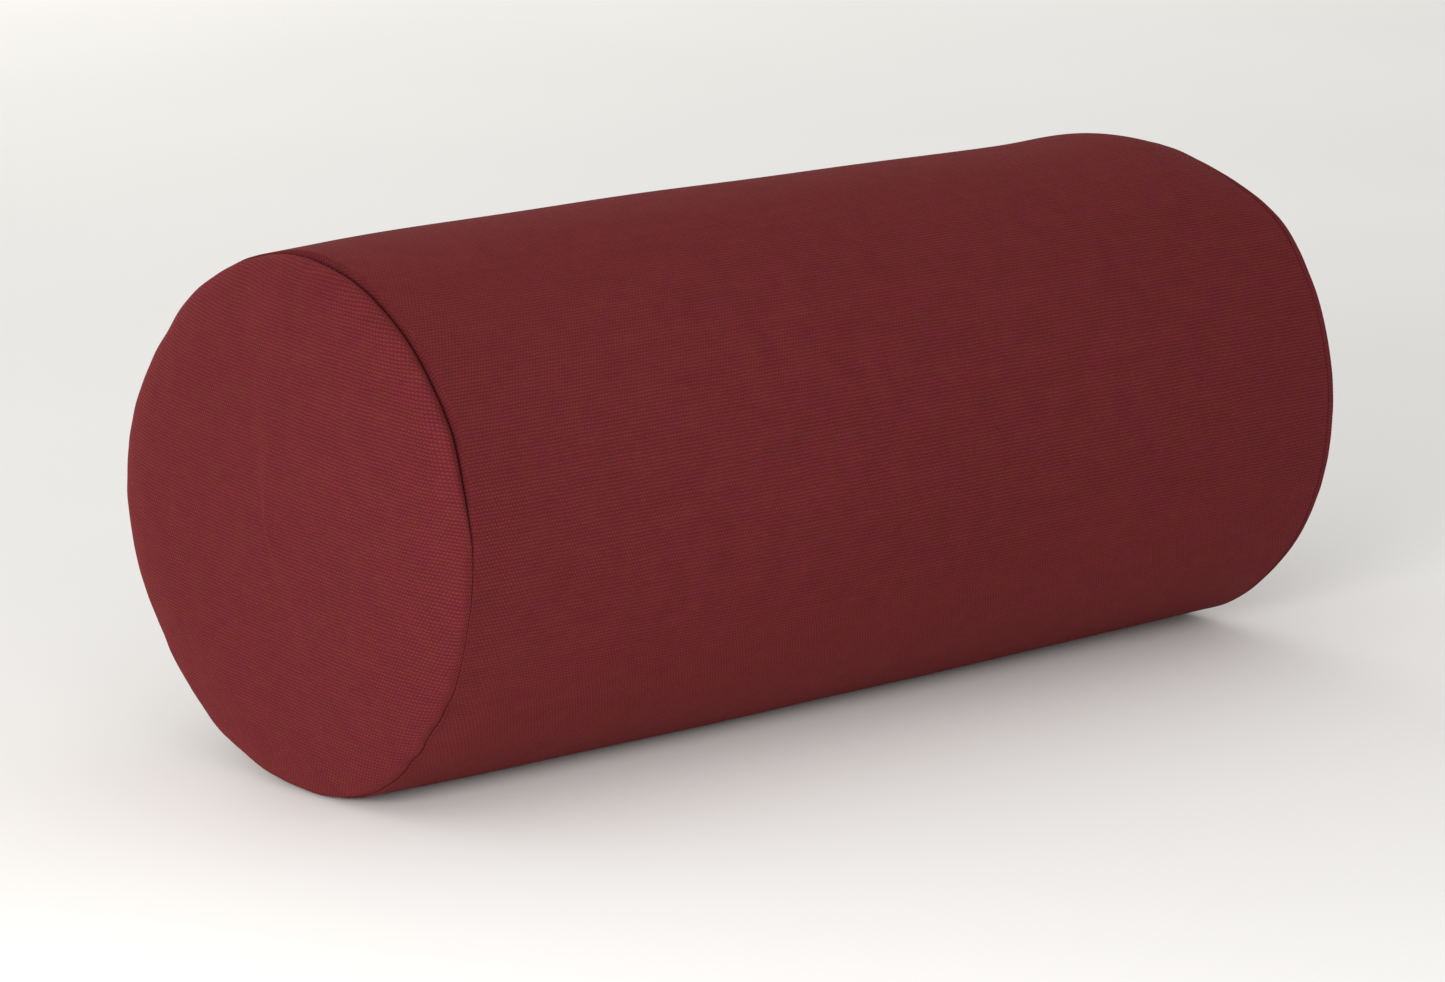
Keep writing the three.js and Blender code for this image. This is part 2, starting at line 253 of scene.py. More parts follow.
def woven(name, base, pitch_row, pitch_col, depth, rough=0.85, sheen=0.12, gap_shade_strength=1.0, slub=1.0):
    """Plain weave on the 'weave' map, in metres: rows of yarn run along U, columns along V."""
    m = Nodes(name)
    u, v, _ = m.split(m.uv())
    wander = m.noise(m.xyz(u, v), 70.0, 2.0)
    wander = m.math("SUBTRACT", wander, 0.5)
    fine = m.noise(m.xyz(u, v, 3.1), 400.0, 1.0)
    fine = m.math("SUBTRACT", fine, 0.5)
    p = m.math("MULTIPLY_ADD", v, 1 / pitch_row, m.math("MULTIPLY_ADD", wander, 0.9, m.math("MULTIPLY", fine, 0.35)))
    q = m.math("MULTIPLY_ADD", u, 1 / pitch_col, m.math("MULTIPLY_ADD", wander, -0.7, m.math("MULTIPLY", fine, -0.35)))
    sp = m.math("SINE", m.math("MULTIPLY", p, PI))
    sq = m.math("SINE", m.math("MULTIPLY", q, PI))
    ap, aq = m.math("ABSOLUTE", sp), m.math("ABSOLUTE", sq)
    # thick weft rows dip under every second warp yarn, turn and turn about
    float_ = m.math("MULTIPLY", m.math("SIGN", sp), sq)
    weft = m.math("MULTIPLY", m.math("POWER", ap, 0.8), m.math("MULTIPLY_ADD", float_, 0.27, 0.73))
    warp = m.math("MULTIPLY", m.math("POWER", aq, 0.7), m.math("MULTIPLY_ADD", ap, -0.26, 0.46))
    height = m.math("MAXIMUM", weft, warp)
    # each yarn has its own thickness and shade, and slubs along it
    row = m.math("FLOOR", p)
    col = m.math("FLOOR", q)
    shade_row = m.math("SUBTRACT", m.white(row), 0.5)
    shade_col = m.math("SUBTRACT", m.white(m.math("ADD", col, 517.3)), 0.5)
    along_row = m.math("SUBTRACT", m.noise(m.xyz(m.math("MULTIPLY", u, 330.0), m.math("MULTIPLY", row, 3.7)), 1.0, 2.0), 0.5)
    along_col = m.math("SUBTRACT", m.noise(m.xyz(m.math("MULTIPLY", col, 3.7), m.math("MULTIPLY", v, 330.0), 5.0), 1.0, 2.0), 0.5)
    on_weft = m.math("GREATER_THAN", weft, warp)
    yarn_row = m.math("MULTIPLY_ADD", along_row, 0.30 * slub, m.math("MULTIPLY", shade_row, 0.05))
    yarn_col = m.math("MULTIPLY_ADD", along_col, 0.30 * slub, m.math("MULTIPLY", shade_col, 0.06))
    yarn = m.math(
        "ADD",
        m.math("MULTIPLY", yarn_row, on_weft),
        m.math("MULTIPLY", yarn_col, m.math("SUBTRACT", 1.0, on_weft)),
    )
    blotch = m.math("SUBTRACT", m.noise(m.xyz(u, v, 9.0), 110.0, 3.0, 0.6), 0.5)
    broad = m.math("SUBTRACT", m.noise(m.xyz(u, v, 4.0), 9.0, 2.0, 0.5), 0.5)
    fibre = m.math("SUBTRACT", m.noise(m.xyz(m.math("MULTIPLY", u, 1.0), v, 1.0), 2600.0, 2.0, 0.6), 0.5)
    # painted shade: by yarn height, the yarn crowns are painted lighter and the gaps between yarns darker, on top of
    # the bump; the yarns' own tone then varies at random
    tone_and_gap_shade = m.math("MULTIPLY_ADD", height, 0.84 * gap_shade_strength, 1.0 - 0.53 * gap_shade_strength)
    tone_and_gap_shade = m.math("ADD", tone_and_gap_shade, yarn)
    tone_and_gap_shade = m.math("MULTIPLY_ADD", blotch, 0.30, tone_and_gap_shade)
    tone_and_gap_shade = m.math("MULTIPLY_ADD", broad, 0.18, tone_and_gap_shade)
    tone_and_gap_shade = m.math("MULTIPLY_ADD", fibre, 0.34, tone_and_gap_shade)
    tone_and_gap_shade = m.math("MAXIMUM", tone_and_gap_shade, 0.15)
    # the dye leans a little towards brown in places and towards plum in others
    hue = m.remap(m.noise(m.xyz(u, v, 21.0), 150.0, 2.0, 0.6), 0.35, 0.65, 0.0, 1.0)
    r, g, b = base
    tint = m.mix(hue, (r, g * 1.10, b * 0.91, 1), (r, g * 0.92, b * 1.10, 1))
    grey = m.t.nodes.new("ShaderNodeCombineColor")
    for s in grey.inputs[:3]:
        m.put(s, tone_and_gap_shade)
    colour = m.mix(1.0, tint, grey.outputs[0], "MULTIPLY")
    top = m.math("MULTIPLY_ADD", fibre, 0.25, m.math("MULTIPLY_ADD", yarn, 0.4, height))
    m.set(Base_Color=colour, Normal=m.bump(top, depth))
    m.set(Roughness=m.remap(height, 0.0, 1.0, min(1, rough + 0.1), rough - 0.05))
    m.set(Sheen_Weight=sheen, Sheen_Roughness=0.5, Sheen_Tint=(1.0, 0.15, 0.14, 1))
    m.set(Specular_IOR_Level=0.04)
    return m.mat


RED = (0.0940, 0.0132, 0.0160)
cloth = woven("cover_canvas", RED, 0.985 * MM, 0.51 * MM, 0.24 * MM)
tape_cloth = woven("zipper_tape_weave", (0.090, 0.0130, 0.0158), 0.42 * MM, 0.55 * MM, 0.10 * MM, rough=0.7, sheen=0.2)


def thread_material():
    m = Nodes("polyester_thread")
    u, v, _ = m.split(m.uv())
    # two plies twisted together
    ply = m.math("SINE", m.math("MULTIPLY_ADD", u, 2 * PI / (0.55 * MM), m.math("MULTIPLY", v, 2 * PI)))
    shade = m.noise(m.place(), 900.0, 2.0)
    # painted shade: the grooves between the plies are painted darker, following the ply bump
    col = m.mix(m.remap(ply, -1, 1, 0, 1), (0.058, 0.007, 0.009, 1), (0.118, 0.015, 0.019, 1))
    col = m.mix(m.remap(shade, 0.3, 0.7, 0.0, 0.35), col, (0.09, 0.012, 0.016, 1))
    return m.set(Base_Color=col, Roughness=0.62, Normal=m.bump(ply, 0.05 * MM), Specular_IOR_Level=0.15, Sheen_Weight=0.08, Sheen_Tint=(1.0, 0.2, 0.22, 1))


def nylon_material():
    m = Nodes("nylon_coil")
    n = m.noise(m.place(), 1500.0, 2.0)
    col = m.mix(m.remap(n, 0.35, 0.65, 0, 1), (0.098, 0.013, 0.017, 1), (0.128, 0.018, 0.022, 1))
    return m.set(Base_Color=col, Roughness=m.remap(n, 0.3, 0.7, 0.32, 0.45), Normal=m.bump(n, 0.01 * MM), Specular_IOR_Level=0.35)


def metal_material():
    m = Nodes("antique_nickel")
    n = m.noise(m.place(), 260.0, 4.0, 0.6)
    scratch = m.t.nodes.new("ShaderNodeMapping")
    m.put(scratch.inputs[0], m.place())
    scratch.inputs["Scale"].default_value = (300, 4000, 4000)
    s = m.noise(scratch.outputs[0], 1.0, 3.0, 0.7)
    geo = m.t.nodes.new("ShaderNodeNewGeometry")
    edge = m.remap(geo.outputs["Pointiness"], 0.5, 0.62, 0.0, 1.0)
    col = m.mix(m.remap(n, 0.35, 0.65, 0, 1), (0.150, 0.140, 0.124, 1), (0.235, 0.220, 0.196, 1))
    col = m.mix(edge, col, (0.42, 0.395, 0.35, 1))
    rough = m.math("ADD", m.remap(n, 0.3, 0.7, 0.22, 0.36), m.remap(s, 0.4, 0.8, 0.0, 0.10))
    return m.set(Base_Color=col, Metallic=1.0, Roughness=rough, Normal=m.bump(s, 0.01 * MM))


def label_material():
    m = Nodes("satin_label")
    u, v, _ = m.split(m.uv())
    a = m.math("SINE", m.math("MULTIPLY", u, 2 * PI / (0.34 * MM)))
    b = m.math("SINE", m.math("MULTIPLY", v, 2 * PI / (0.30 * MM)))
    h = m.math("MULTIPLY_ADD", a, 0.6, m.math("MULTIPLY", b, 0.4))
    n = m.noise(m.xyz(u, v), 160.0, 3.0)
    col = m.mix(m.remap(n, 0.3, 0.7, 0, 1), (0.66, 0.64, 0.585, 1), (0.75, 0.73, 0.68, 1))
    # painted shade: darker along the weave's low lines, following the bump height
    col = m.mix(m.remap(h, -1, 1, 0.25, 0.0), col, (0.50, 0.48, 0.43, 1))
    return m.set(Base_Color=col, Roughness=0.42, Normal=m.bump(h, 0.03 * MM), Sheen_Weight=0.3)


def foam_material():
    m = Nodes("polyurethane_foam")
    vor = m.t.nodes.new("ShaderNodeTexVoronoi")
    m.put(vor.inputs["Vector"], m.place())
    vor.inputs["Scale"].default_value = 1300.0
    n = m.noise(m.place(), 30.0, 3.0)
    col = m.mix(m.remap(n, 0.3, 0.7, 0, 1), (0.78, 0.72, 0.50, 1), (0.84, 0.79, 0.60, 1))
    # painted shade: darker inside the pores, following the pits of the bump
    col = m.mix(m.remap(vor.outputs["Distance"], 0.0, 0.7, 0.45, 0.0), col, (0.52, 0.46, 0.30, 1))
    return m.set(Base_Color=col, Roughness=0.95, Normal=m.bump(vor.outputs["Distance"], 0.4 * MM))


def batting_material():
    m = Nodes("polyester_batting")
    n = m.noise(m.place(), 220.0, 5.0, 0.7)
    w = m.noise(m.place(), 40.0, 3.0, 0.6)
    col = m.mix(m.remap(n, 0.3, 0.7, 0, 1), (0.80, 0.79, 0.76, 1), (0.93, 0.93, 0.91, 1))
    h = m.math("MULTIPLY_ADD", n, 0.5, w)
    return m.set(Base_Color=col, Roughness=0.95, Normal=m.bump(h, 1.5 * MM), Sheen_Weight=0.4)


thread = thread_material()
nylon = nylon_material()
metal = metal_material()
satin = label_material()
foam = foam_material()
batting = batting_material()

# ---- shape of the stuffed cover -------------------------------------------------------------------
FOLD = 2.0 * MM  # outer radius of each panel where it turns in at an end seam
FACE = SEAM - 0.05 * MM  # each panel's turned-in face, just short of the seam's plane

def bell(th, centre, flat, fade):
    """1 within `flat` degrees of a centre, falling to 0 over the next `fade` degrees."""
    off = np.abs((np.degrees(th) - centre + 180) % 360 - 180)
    return 1 - smoothstep(flat, flat + fade, off)


def looseness(side, th):
    """How open the seam lies: 1 where it is slack, 0 where the stuffing pulls it tight."""
    if side < 0:
        return 0.92 * bell(th, 128, 30, 22) + 0.20 * bell(th, 226, 10, 16) + 0.35 * bell(th, 330, 40, 40)
    return 0.25 * bell(th, 120, 18, 20) + 0.4 * bell(th, 20, 50, 40) + 0.2 * bell(th, 250, 20, 30)


soft = ripple(11, 14, (1, 5), (-3.5, 3.5), 0.42 * MM)
medium = ripple(12, 18, (5, 14), (-14, 14), 0.16 * MM)
tuck = {
    s: (ripple(21 + s, 22, (28, 62), (0, 0), 1.0), ripple(31 + s, 14, (9, 24), (0, 0), 1.0))
    for s in (-1, 1)
}
wobble = {s: ripple(41 + s, 10, (3, 17), (0, 0), 1.0) for s in (-1, 1)}
# places where the sewing caught a small pleat: side, angle round from the back, width, depth
PLEATS = [
    (-1, math.radians(211), math.radians(3.4), 0.9 * MM),
    (-1, math.radians(219), math.radians(4.2), 1.3 * MM),
    (-1, math.radians(228), math.radians(4.0), 0.8 * MM),
    (-1, math.radians(40), math.radians(4.0), 0.5 * MM),
    (1, math.radians(315), math.radians(4.0), 0.6 * MM),
    (1, math.radians(52), math.radians(3.5), 0.5 * MM),
]


def drawn(side, th):
    """How far in along the roll the end seam lies, where the end panel wraps over the corner."""
    if side < 0:
        return 2.7 * MM * bell(th, 132, 20, 36)
    return 0.8 * MM * bell(th, 110, 20, 40)


def around(th, centre):
    return (th - centre + PI) % (2 * PI) - PI


def slump(side, th, t):
    """The soft ends have settled: a little flatter where the stuffing is thin."""
    if side < 0:
        drop = 2.3 * bell(th, 52, 8, 40) + 2.9 * bell(th, 305, 14, 42) + 0.9 * bell(th, 268, 6, 26) - 1.2 * bell(th, 358, 10, 25)
        reach = 24 * MM
    else:
        drop = 5.0 * bell(th, 92, 13, 36) - 0.6 * bell(th, 144, 8, 20) + 1.6 * bell(th, 300, 20, 40)
        reach = 17 * MM
    return -drop * MM * np.exp(-((t / reach) ** 1.6))


def seam_relief(side, th, t, cap=False):
    """Outward move of the cloth at a distance t from the end seam."""
    slack = looseness(side, th)
    pull = (0.04 + 0.8 * slack) * MM if cap else (0.03 + 0.06 * slack) * MM
    reach = (3.0 + 1.8 * slack) * MM if cap else (2.5 + 1.0 * slack) * MM
    fine, coarse = tuck[side]
    k = t / (3.2 * MM)
    much = 1.0 if side < 0 else 0.6
    out = much * (0.11 * MM * fine(0, th) + 0.13 * MM * coarse(0, th)) * k * np.exp(1 - k) * np.exp(-t / (16 * MM))
    out = out - pull * np.exp(-((t / reach) ** 1.3)) + 0.7 * MM * slack * np.exp(-t / (12 * MM))
    out = out + much * 0.16 * MM * coarse(0, th + 0.3) * np.exp(-t / (4 * MM))
    for s, at, width, depth in PLEATS:
        if s == side:
            out = out - depth * np.exp(-((around(th, at) / width) ** 2)) * np.exp(-((t - 3 * MM) / (5.5 * MM)) ** 2)
    return out


def seam_shift(side, th, t, cap=False):
    """Move along X of the seam line itself, the same for both panels."""
    out = 0.42 * MM * wobble[side](0, th) + 0.16 * MM * tuck[side][1](0, th + 0.7)
    for s, at, width, depth in PLEATS:
        if s == side:
            out = out + 0.18 * depth * np.exp(-((around(th, at) / width) ** 2))
    return out * np.exp(-t / (9 * MM)) - drawn(side, th) * np.exp(-t / ((5.5 if cap else 28) * MM))


def corner(d, h, fold):
    """Resizes the rounded corner beside the seam from FOLD to `fold`; d is measured from the corner."""
    inside = h + (d - h) * np.maximum(fold - h, 0.05 * MM) / np.maximum(FOLD - h, 0.05 * MM)
    return np.where(d < FOLD, inside, d + (fold - FOLD) * (1 - smoothstep(FOLD, 16 * MM, d)))


def flatten(y, z, depth):
    """Rests the section on the floor: z is measured from the axis."""
    k = 0.9 * MM
    base = -ZC + depth
    soft_z = base + k * np.logaddexp(0, (z - base) / k)
    return y, np.where(z < -0.5 * R, soft_z, z)


# ---- body panel -----------------------------------------------------------------------------------
LC = FACE - FOLD
MID = FOLD - CLOTH / 2
QUARTER = MID * PI / 2


def profile(u, h):
    """The panel's line in x and radius at a signed length u from its middle and a depth h."""
    a = np.abs(u)
    bend = np.clip((a - LC) / MID, 0, PI / 2)
    rad = np.maximum(FOLD - h, 0.03 * MM)
    x = np.minimum(a, LC) + rad * np.sin(bend)
    r = np.where(a <= LC, R - h, R - FOLD + rad * np.cos(bend))
    down = np.maximum(a - LC - QUARTER, 0)
    x = np.where(down > 0, FACE - h, x)
    r = r - down
    return np.sign(u) * x, r


def body_panel():
    near = np.array([0, 0.7, 1.5, 2.4, 3.4, 4.5, 5.7, 7.0, 8.5, 10.2, 12.2, 14.6, 17.5, 21]) * MM
    ends = np.arange(OPEN + 6 * MM, OPEN - 3 * MM, -0.75 * MM)
    far = np.linspace(OPEN - 4 * MM, 0, 34)
    half = np.concatenate(
        [
            LC + QUARTER + np.array([7.4, 4.5, 2.4, 1.0, 0.3]) * MM,
            LC + QUARTER * np.linspace(1, 0, 7)[:-1],
            LC - near[LC - near > OPEN + 6.5 * MM],
            ends,
            far,
        ]
    )
    u = np.concatenate([-half, half[::-1][1:]])
    # across the cloth, from one edge under the zipper round to the other: arc length s and depth h
    c = 1.05 * MM  # depth of the folded edge's middle
    e = SLIT + c
    hem = SLIT + 12 * MM
    s_mid, h_a, h_b, s_a, s_b = [], [], [], [], []

    def point(sa, ha, sb, hb):
        s_a.append(sa)
        h_a.append(ha)
        s_b.append(sb)
        h_b.append(hb)

    for s in np.linspace(hem, e, 7)[:-1]:
        point(s, 2 * c, s, 1.2 * MM)
    for t in np.linspace(-PI / 2, PI / 2, 9):
        point(e - c * math.cos(t), c - c * math.sin(t), e - 0.15 * MM * math.cos(t), c - 0.15 * MM * math.sin(t))
    side = e + np.array([0.5, 1.0, 1.5, 1.9, 2.2, 2.5, 2.9, 3.4, 4.2, 5.4, 7.0, 9.0]) * MM
    for s in side:
        point(s, 0.0, s, CLOTH)
    s_a, h_a, s_b, h_b = map(np.array, (s_a, h_a, s_b, h_b))
    last = side[-1]
    n = 250
    rest = np.linspace(last, 2 * PI * R - last, n)[1:-1]
    S_A = np.concatenate([s_a, rest, 2 * PI * R - s_a[::-1]])
    H_A = np.concatenate([h_a, 0 * rest, h_a[::-1]])
    S_B = np.concatenate([s_b, rest, 2 * PI * R - s_b[::-1]])
    H_B = np.concatenate([h_b, 0 * rest + CLOTH, h_b[::-1]])
    # length along the cloth, for the weave
    mid_s, mid_h = (S_A + S_B) / 2, (H_A + H_B) / 2
    V = np.concatenate([[0], np.cumsum(np.hypot(np.diff(mid_s), np.diff(mid_h)))])

    def surface(S, H):
        U, SS = np.meshgrid(u, S, indexing="ij")
        _, HH = np.meshgrid(u, H, indexing="ij")
        x, r = profile(U, HH)
        # the two folded edges meet past the ends of the zipper
        close = smoothstep(OPEN - 0.5 * MM, OPEN + 4.5 * MM, np.abs(x)) * (SLIT - 0.04 * MM)
        from_mid = np.minimum(SS, 2 * PI * R - SS)
        fade = np.where(HH > CLOTH + 0.05 * MM, 1.0, 1 - smoothstep(9 * MM, 26 * MM, from_mid))
        slip = np.where(SS < PI * R, -1, 1) * close * fade
        SS = SS + slip
        th = SS / R
        from_mid = np.minimum(SS, 2 * PI * R - SS)
        t = np.maximum(LC + QUARTER - np.abs(U), 0)
        side_l, side_r = x < 0, x >= 0
        slack = np.where(side_l, looseness(-1, th), looseness(1, th))
        away = smoothstep(19 * MM, 27 * MM, from_mid)
        fold = FOLD + (0.26 * MM + 0.28 * MM * slack - FOLD) * away
        depth = np.minimum(HH, CLOTH)
        x = np.where(U < 0, -1, 1) * (FACE - corner(FACE - np.abs(x), depth, fold))
        r = R - corner(R - r, depth, fold)
        x = x - np.sign(x) * 0.10 * MM * slack * away * np.exp(-t / (3 * MM))
        skin = np.clip((r - (R - 7 * MM)) / (5 * MM), 0, 1)
        crown = 0.75 * MM * np.cos(PI * (x + 0.045) / 0.27) - 0.15 * MM
        crown = crown + 2.2 * MM * bell(th, 74, 16, 44) * np.exp(-(((x - 0.149) / 0.020) ** 2))
        move = crown + soft(x, th) + medium(x, th) * (1 - np.exp(-t / (12 * MM)))
        move = move + np.where(side_l, seam_relief(-1, th, t), seam_relief(1, th, t))
        move = move + np.where(side_l, slump(-1, th, t), slump(1, th, t))
        shift = np.where(side_l, -seam_shift(-1, th, t), seam_shift(1, th, t))
        # topstitching presses the cloth down, and it stands a little proud on each side
        open_part = 1 - smoothstep(OPEN - 1 * MM, OPEN + 3 * MM, np.abs(x))
        valley = -0.34 * MM * np.exp(-(((from_mid - ROW) / (0.9 * MM)) ** 2))
        ridge = 0.12 * MM * np.exp(-(((from_mid - 7.6 * MM) / (1.2 * MM)) ** 2))
        pit = 1 + 0.45 * np.cos(2 * PI * x / (3.4 * MM)) * np.exp(-(((from_mid - ROW) / (1.6 * MM)) ** 2))
        # the zipper keeps the cloth flat beside it, as far as the end seams
        beside = smoothstep(6 * MM, 30 * MM, from_mid)
        beside = beside + (1 - beside) * smoothstep(149 * MM, 162 * MM, np.abs(x))
        move = move * beside + (valley * pit + ridge) * open_part
        # plain closed seam past the zipper: a shallow crease
        move = move - 0.5 * MM * np.exp(-((from_mid / (1.8 * MM)) ** 2)) * (1 - open_part)
        r = r + move * skin
        x = x + shift
        y, z = flatten(r * np.cos(th), r * np.sin(th), HH)
        return np.stack([x, y, z + ZC], -1), slip

    (A, slip), (B, _) = surface(S_A, H_A), surface(S_B, H_B)
    uv = np.stack(np.meshgrid(u, V, indexing="ij"), -1)
    uv[..., 1] += slip
    return shell("cover_body", A, B, uv, False, [cloth])


body = body_panel()
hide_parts("body_panel")
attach(body, "cover")


# ---- end panels -----------------------------------------------------------------------------------
def end_panel(side, power=3.86):
    # outer line from the middle to the shoulder: t from 0 at the middle
    rim = R
    ts = np.linspace(0, 1, 400)
    ang = ts * PI / 2
    r = rim * np.sin(ang) ** (2 / power)
    d = DOME * np.cos(ang)
    keep = d > FOLD
    r, d = r[keep], d[keep]
    # then round into the seam
    r_edge = rim * (1 - (FOLD / DOME) ** 2) ** (1 / power)
    bend = np.linspace(0, PI / 2, 8)
    fr = r_edge - FOLD + FOLD * np.cos(bend)
    fd = FOLD - FOLD * np.sin(bend) + 0.05 * MM
    arc_r, arc_d = np.concatenate([r, fr]), np.concatenate([d, fd])
    length = np.concatenate([[0], np.cumsum(np.hypot(np.diff(arc_r), np.diff(arc_d)))])
    total = length[-1]
    bend_len = length[-1] - length[-8]
    near = np.array([0, 0.7, 1.5, 2.4, 3.4, 4.5, 5.7, 7.0, 8.5, 10.2, 12.2, 14.6, 17.5]) * MM
    core = total - bend_len
    lens = np.concatenate([np.linspace(1.2 * MM, core - 20 * MM, 24), (core - near)[::-1], core + bend_len * np.linspace(0, 1, 7)[1:]])
    pr, pd = np.interp(lens, length, arc_r), np.interp(lens, length, arc_d)
    # inwards normal of the line, for the cloth's inner side
    gr, gd = np.gradient(pr, lens), np.gradient(pd, lens)
    g = np.hypot(gr, gd)
    nr, nd = gd / g, -gr / g
    down = np.array([0.3, 1.0, 2.4, 4.5, 7.4]) * MM
    pr2, pd2 = pr + nr * CLOTH, pd + nd * CLOTH
    pr2[-1], pd2[-1] = pr[-1], pd[-1] + CLOTH
    pr = np.concatenate([pr, pr[-1] - down])
    pd = np.concatenate([pd, 0 * down + pd[-1]])
    pr2 = np.concatenate([pr2, pr2[-1] - down])
    pd2 = np.concatenate([pd2, 0 * down + pd2[-1]])
    lens = np.concatenate([lens, total + down])
    n = 270
    th = np.linspace(0, 2 * PI, n, endpoint=False)

    def surface(pr, pd, depth):
        RR, TH = np.meshgrid(pr, th, indexing="ij")
        DD = np.meshgrid(pd, th, indexing="ij")[0]
        LL = np.meshgrid(lens, th, indexing="ij")[0]
        t = np.maximum(total - LL, 0)
        skin = np.clip((total + 7 * MM - LL) / (5 * MM), 0, 1)
        k = np.clip((RR / R), 0, 1)
        slack = looseness(side, TH)
        fold = (0.28 + 2.7 * slack) * MM
        DD = corner(DD, depth, fold)
        RR = r_edge - corner(np.maximum(r_edge - RR, 0) if depth == 0 else r_edge - RR, depth, fold)
        nrm_r = k**2.86 / R
        nrm_d = np.clip(DD / DOME, 0.02, 1) * 2 / power / DOME
        q = np.hypot(nrm_r, nrm_d)
        nrm_r, nrm_d = nrm_r / q, nrm_d / q
        relief = seam_relief(side, TH, t, cap=True)
        y0, z0 = RR * np.cos(TH), RR * np.sin(TH)
        g = np.random.default_rng(60 + side)
        dent = 0
        for _ in range(12):
            kx, ky, ph = g.uniform(-26, 26), g.uniform(-26, 26), g.uniform(0, 2 * PI)
            dent = dent + np.cos(2 * PI * (kx * y0 + ky * z0) * 0.62 + ph)
        relief = relief + 0.22 * MM * dent / math.sqrt(12) * (1 - np.exp(-t / (10 * MM)))
        RR = RR + (relief * nrm_r + soft(side * HALF, TH) * k**6 + slump(side, TH, 0.0) * k**3) * skin
        DD = DD + relief * nrm_d * skin
        x = side * (SEAM + DD) + side * seam_shift(side, TH, t, cap=True)
        y, z = flatten(RR * np.cos(TH), RR * np.sin(TH), depth)
        return np.stack([x, y, z + ZC], -1)

    A, B = surface(pr, pd, 0.0), surface(pr2, pd2, CLOTH)
    turn = math.radians(4.5) * -side
    LL, TH = np.meshgrid(lens, th, indexing="ij")
    a, b = LL * np.cos(TH), LL * np.sin(TH)
    uv = np.stack([a * math.cos(turn) + b * math.sin(turn), b * math.cos(turn) - a * math.sin(turn)], -1) + 0.9
    return A, B, uv


def end_cover(name, side, node):
    A, B, uv = end_panel(side)
    # both sides of the cloth, joined at the hidden edge and closed in the middle with small fans
    nu, nv, _ = A.shape
    n = nu * nv
    verts = np.concatenate([A.reshape(-1, 3), B.reshape(-1, 3), A[0].mean(0)[None], B[0].mean(0)[None]])
    uvs = np.concatenate([uv.reshape(-1, 2), uv.reshape(-1, 2), uv[0].mean(0)[None], uv[0].mean(0)[None]])
    faces = strip(nu, nv, 0, True) + strip(nu, nv, n, True, flip=True)
    row = nu - 1
    for j in range(nv):
        k = (j + 1) % nv
        faces.append([row * nv + j, row * nv + k, n + row * nv + k, n + row * nv + j])
        faces.append([2 * n, j, k])
        faces.append([2 * n + 1, n + k, n + j])
    obj = mesh_object(name, verts, faces, uvs, mats=[cloth])
    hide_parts(node)
    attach(obj, "cover")
    return obj


end_cover("cover_end_left", -1, "left_end_panel")
end_cover("cover_end_right", 1, "right_end_panel")


# ---- inside: foam cylinder, batting ---------------------------------------------------------------
def lathe_solid(name, line, n, mats, side=1, wave=None):
    """Turns a closed-on-the-axis line of (x, r) round the axis; both ends of it are on the axis."""
    line = np.array(line)
    th = np.linspace(0, 2 * PI, n, endpoint=False)
    X, TH = np.meshgrid(line[1:-1, 0], th, indexing="ij")
    RR = np.meshgrid(line[1:-1, 1], th, indexing="ij")[0]
    if wave is not None:
        RR = RR + wave(X, TH) * np.clip(RR / (30 * MM), 0, 1)
    y, z = RR * np.cos(TH), RR * np.sin(TH)
    P = np.stack([X * side, y, z + ZC], -1)
    m = len(line) - 2
    verts = np.concatenate([P.reshape(-1, 3), [[line[0, 0] * side, 0, ZC]], [[line[-1, 0] * side, 0, ZC]]])
    faces = strip(m, n, 0, True)
    for j in range(n):
        k = (j + 1) % n
        faces.append([m * n, k, j])
        faces.append([m * n + 1, (m - 1) * n + j, (m - 1) * n + k])
    return mesh_object(name, verts, faces, mats=mats)


L2 = CORE_HI[0]
core_line = [(-L2, 0)] + [(-L2, r * MM) for r in (20, 40, 55)] + [(-L2, CORE_R - 1.2 * MM), (-L2 + 0.35 * MM, CORE_R - 0.35 * MM)]
core_line += [(x, CORE_R) for x in np.linspace(-L2 + 1.5 * MM, L2 - 1.5 * MM, 40)]
core_line += [(L2 - 0.35 * MM, CORE_R - 0.35 * MM), (L2, CORE_R - 1.2 * MM)] + [(L2, r * MM) for r in (55, 40, 20)] + [(L2, 0)]
grain = ripple(71, 16, (6, 40), (-60, 60), 0.12 * MM)
core = lathe_solid("foam_cylinder", core_line, 128, [foam], wave=lambda x, th: grain(x, th) - 0.15 * MM)
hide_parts("foam_core")
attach(core, "cover")

W_LO, W_HI = span("batting_wrap")


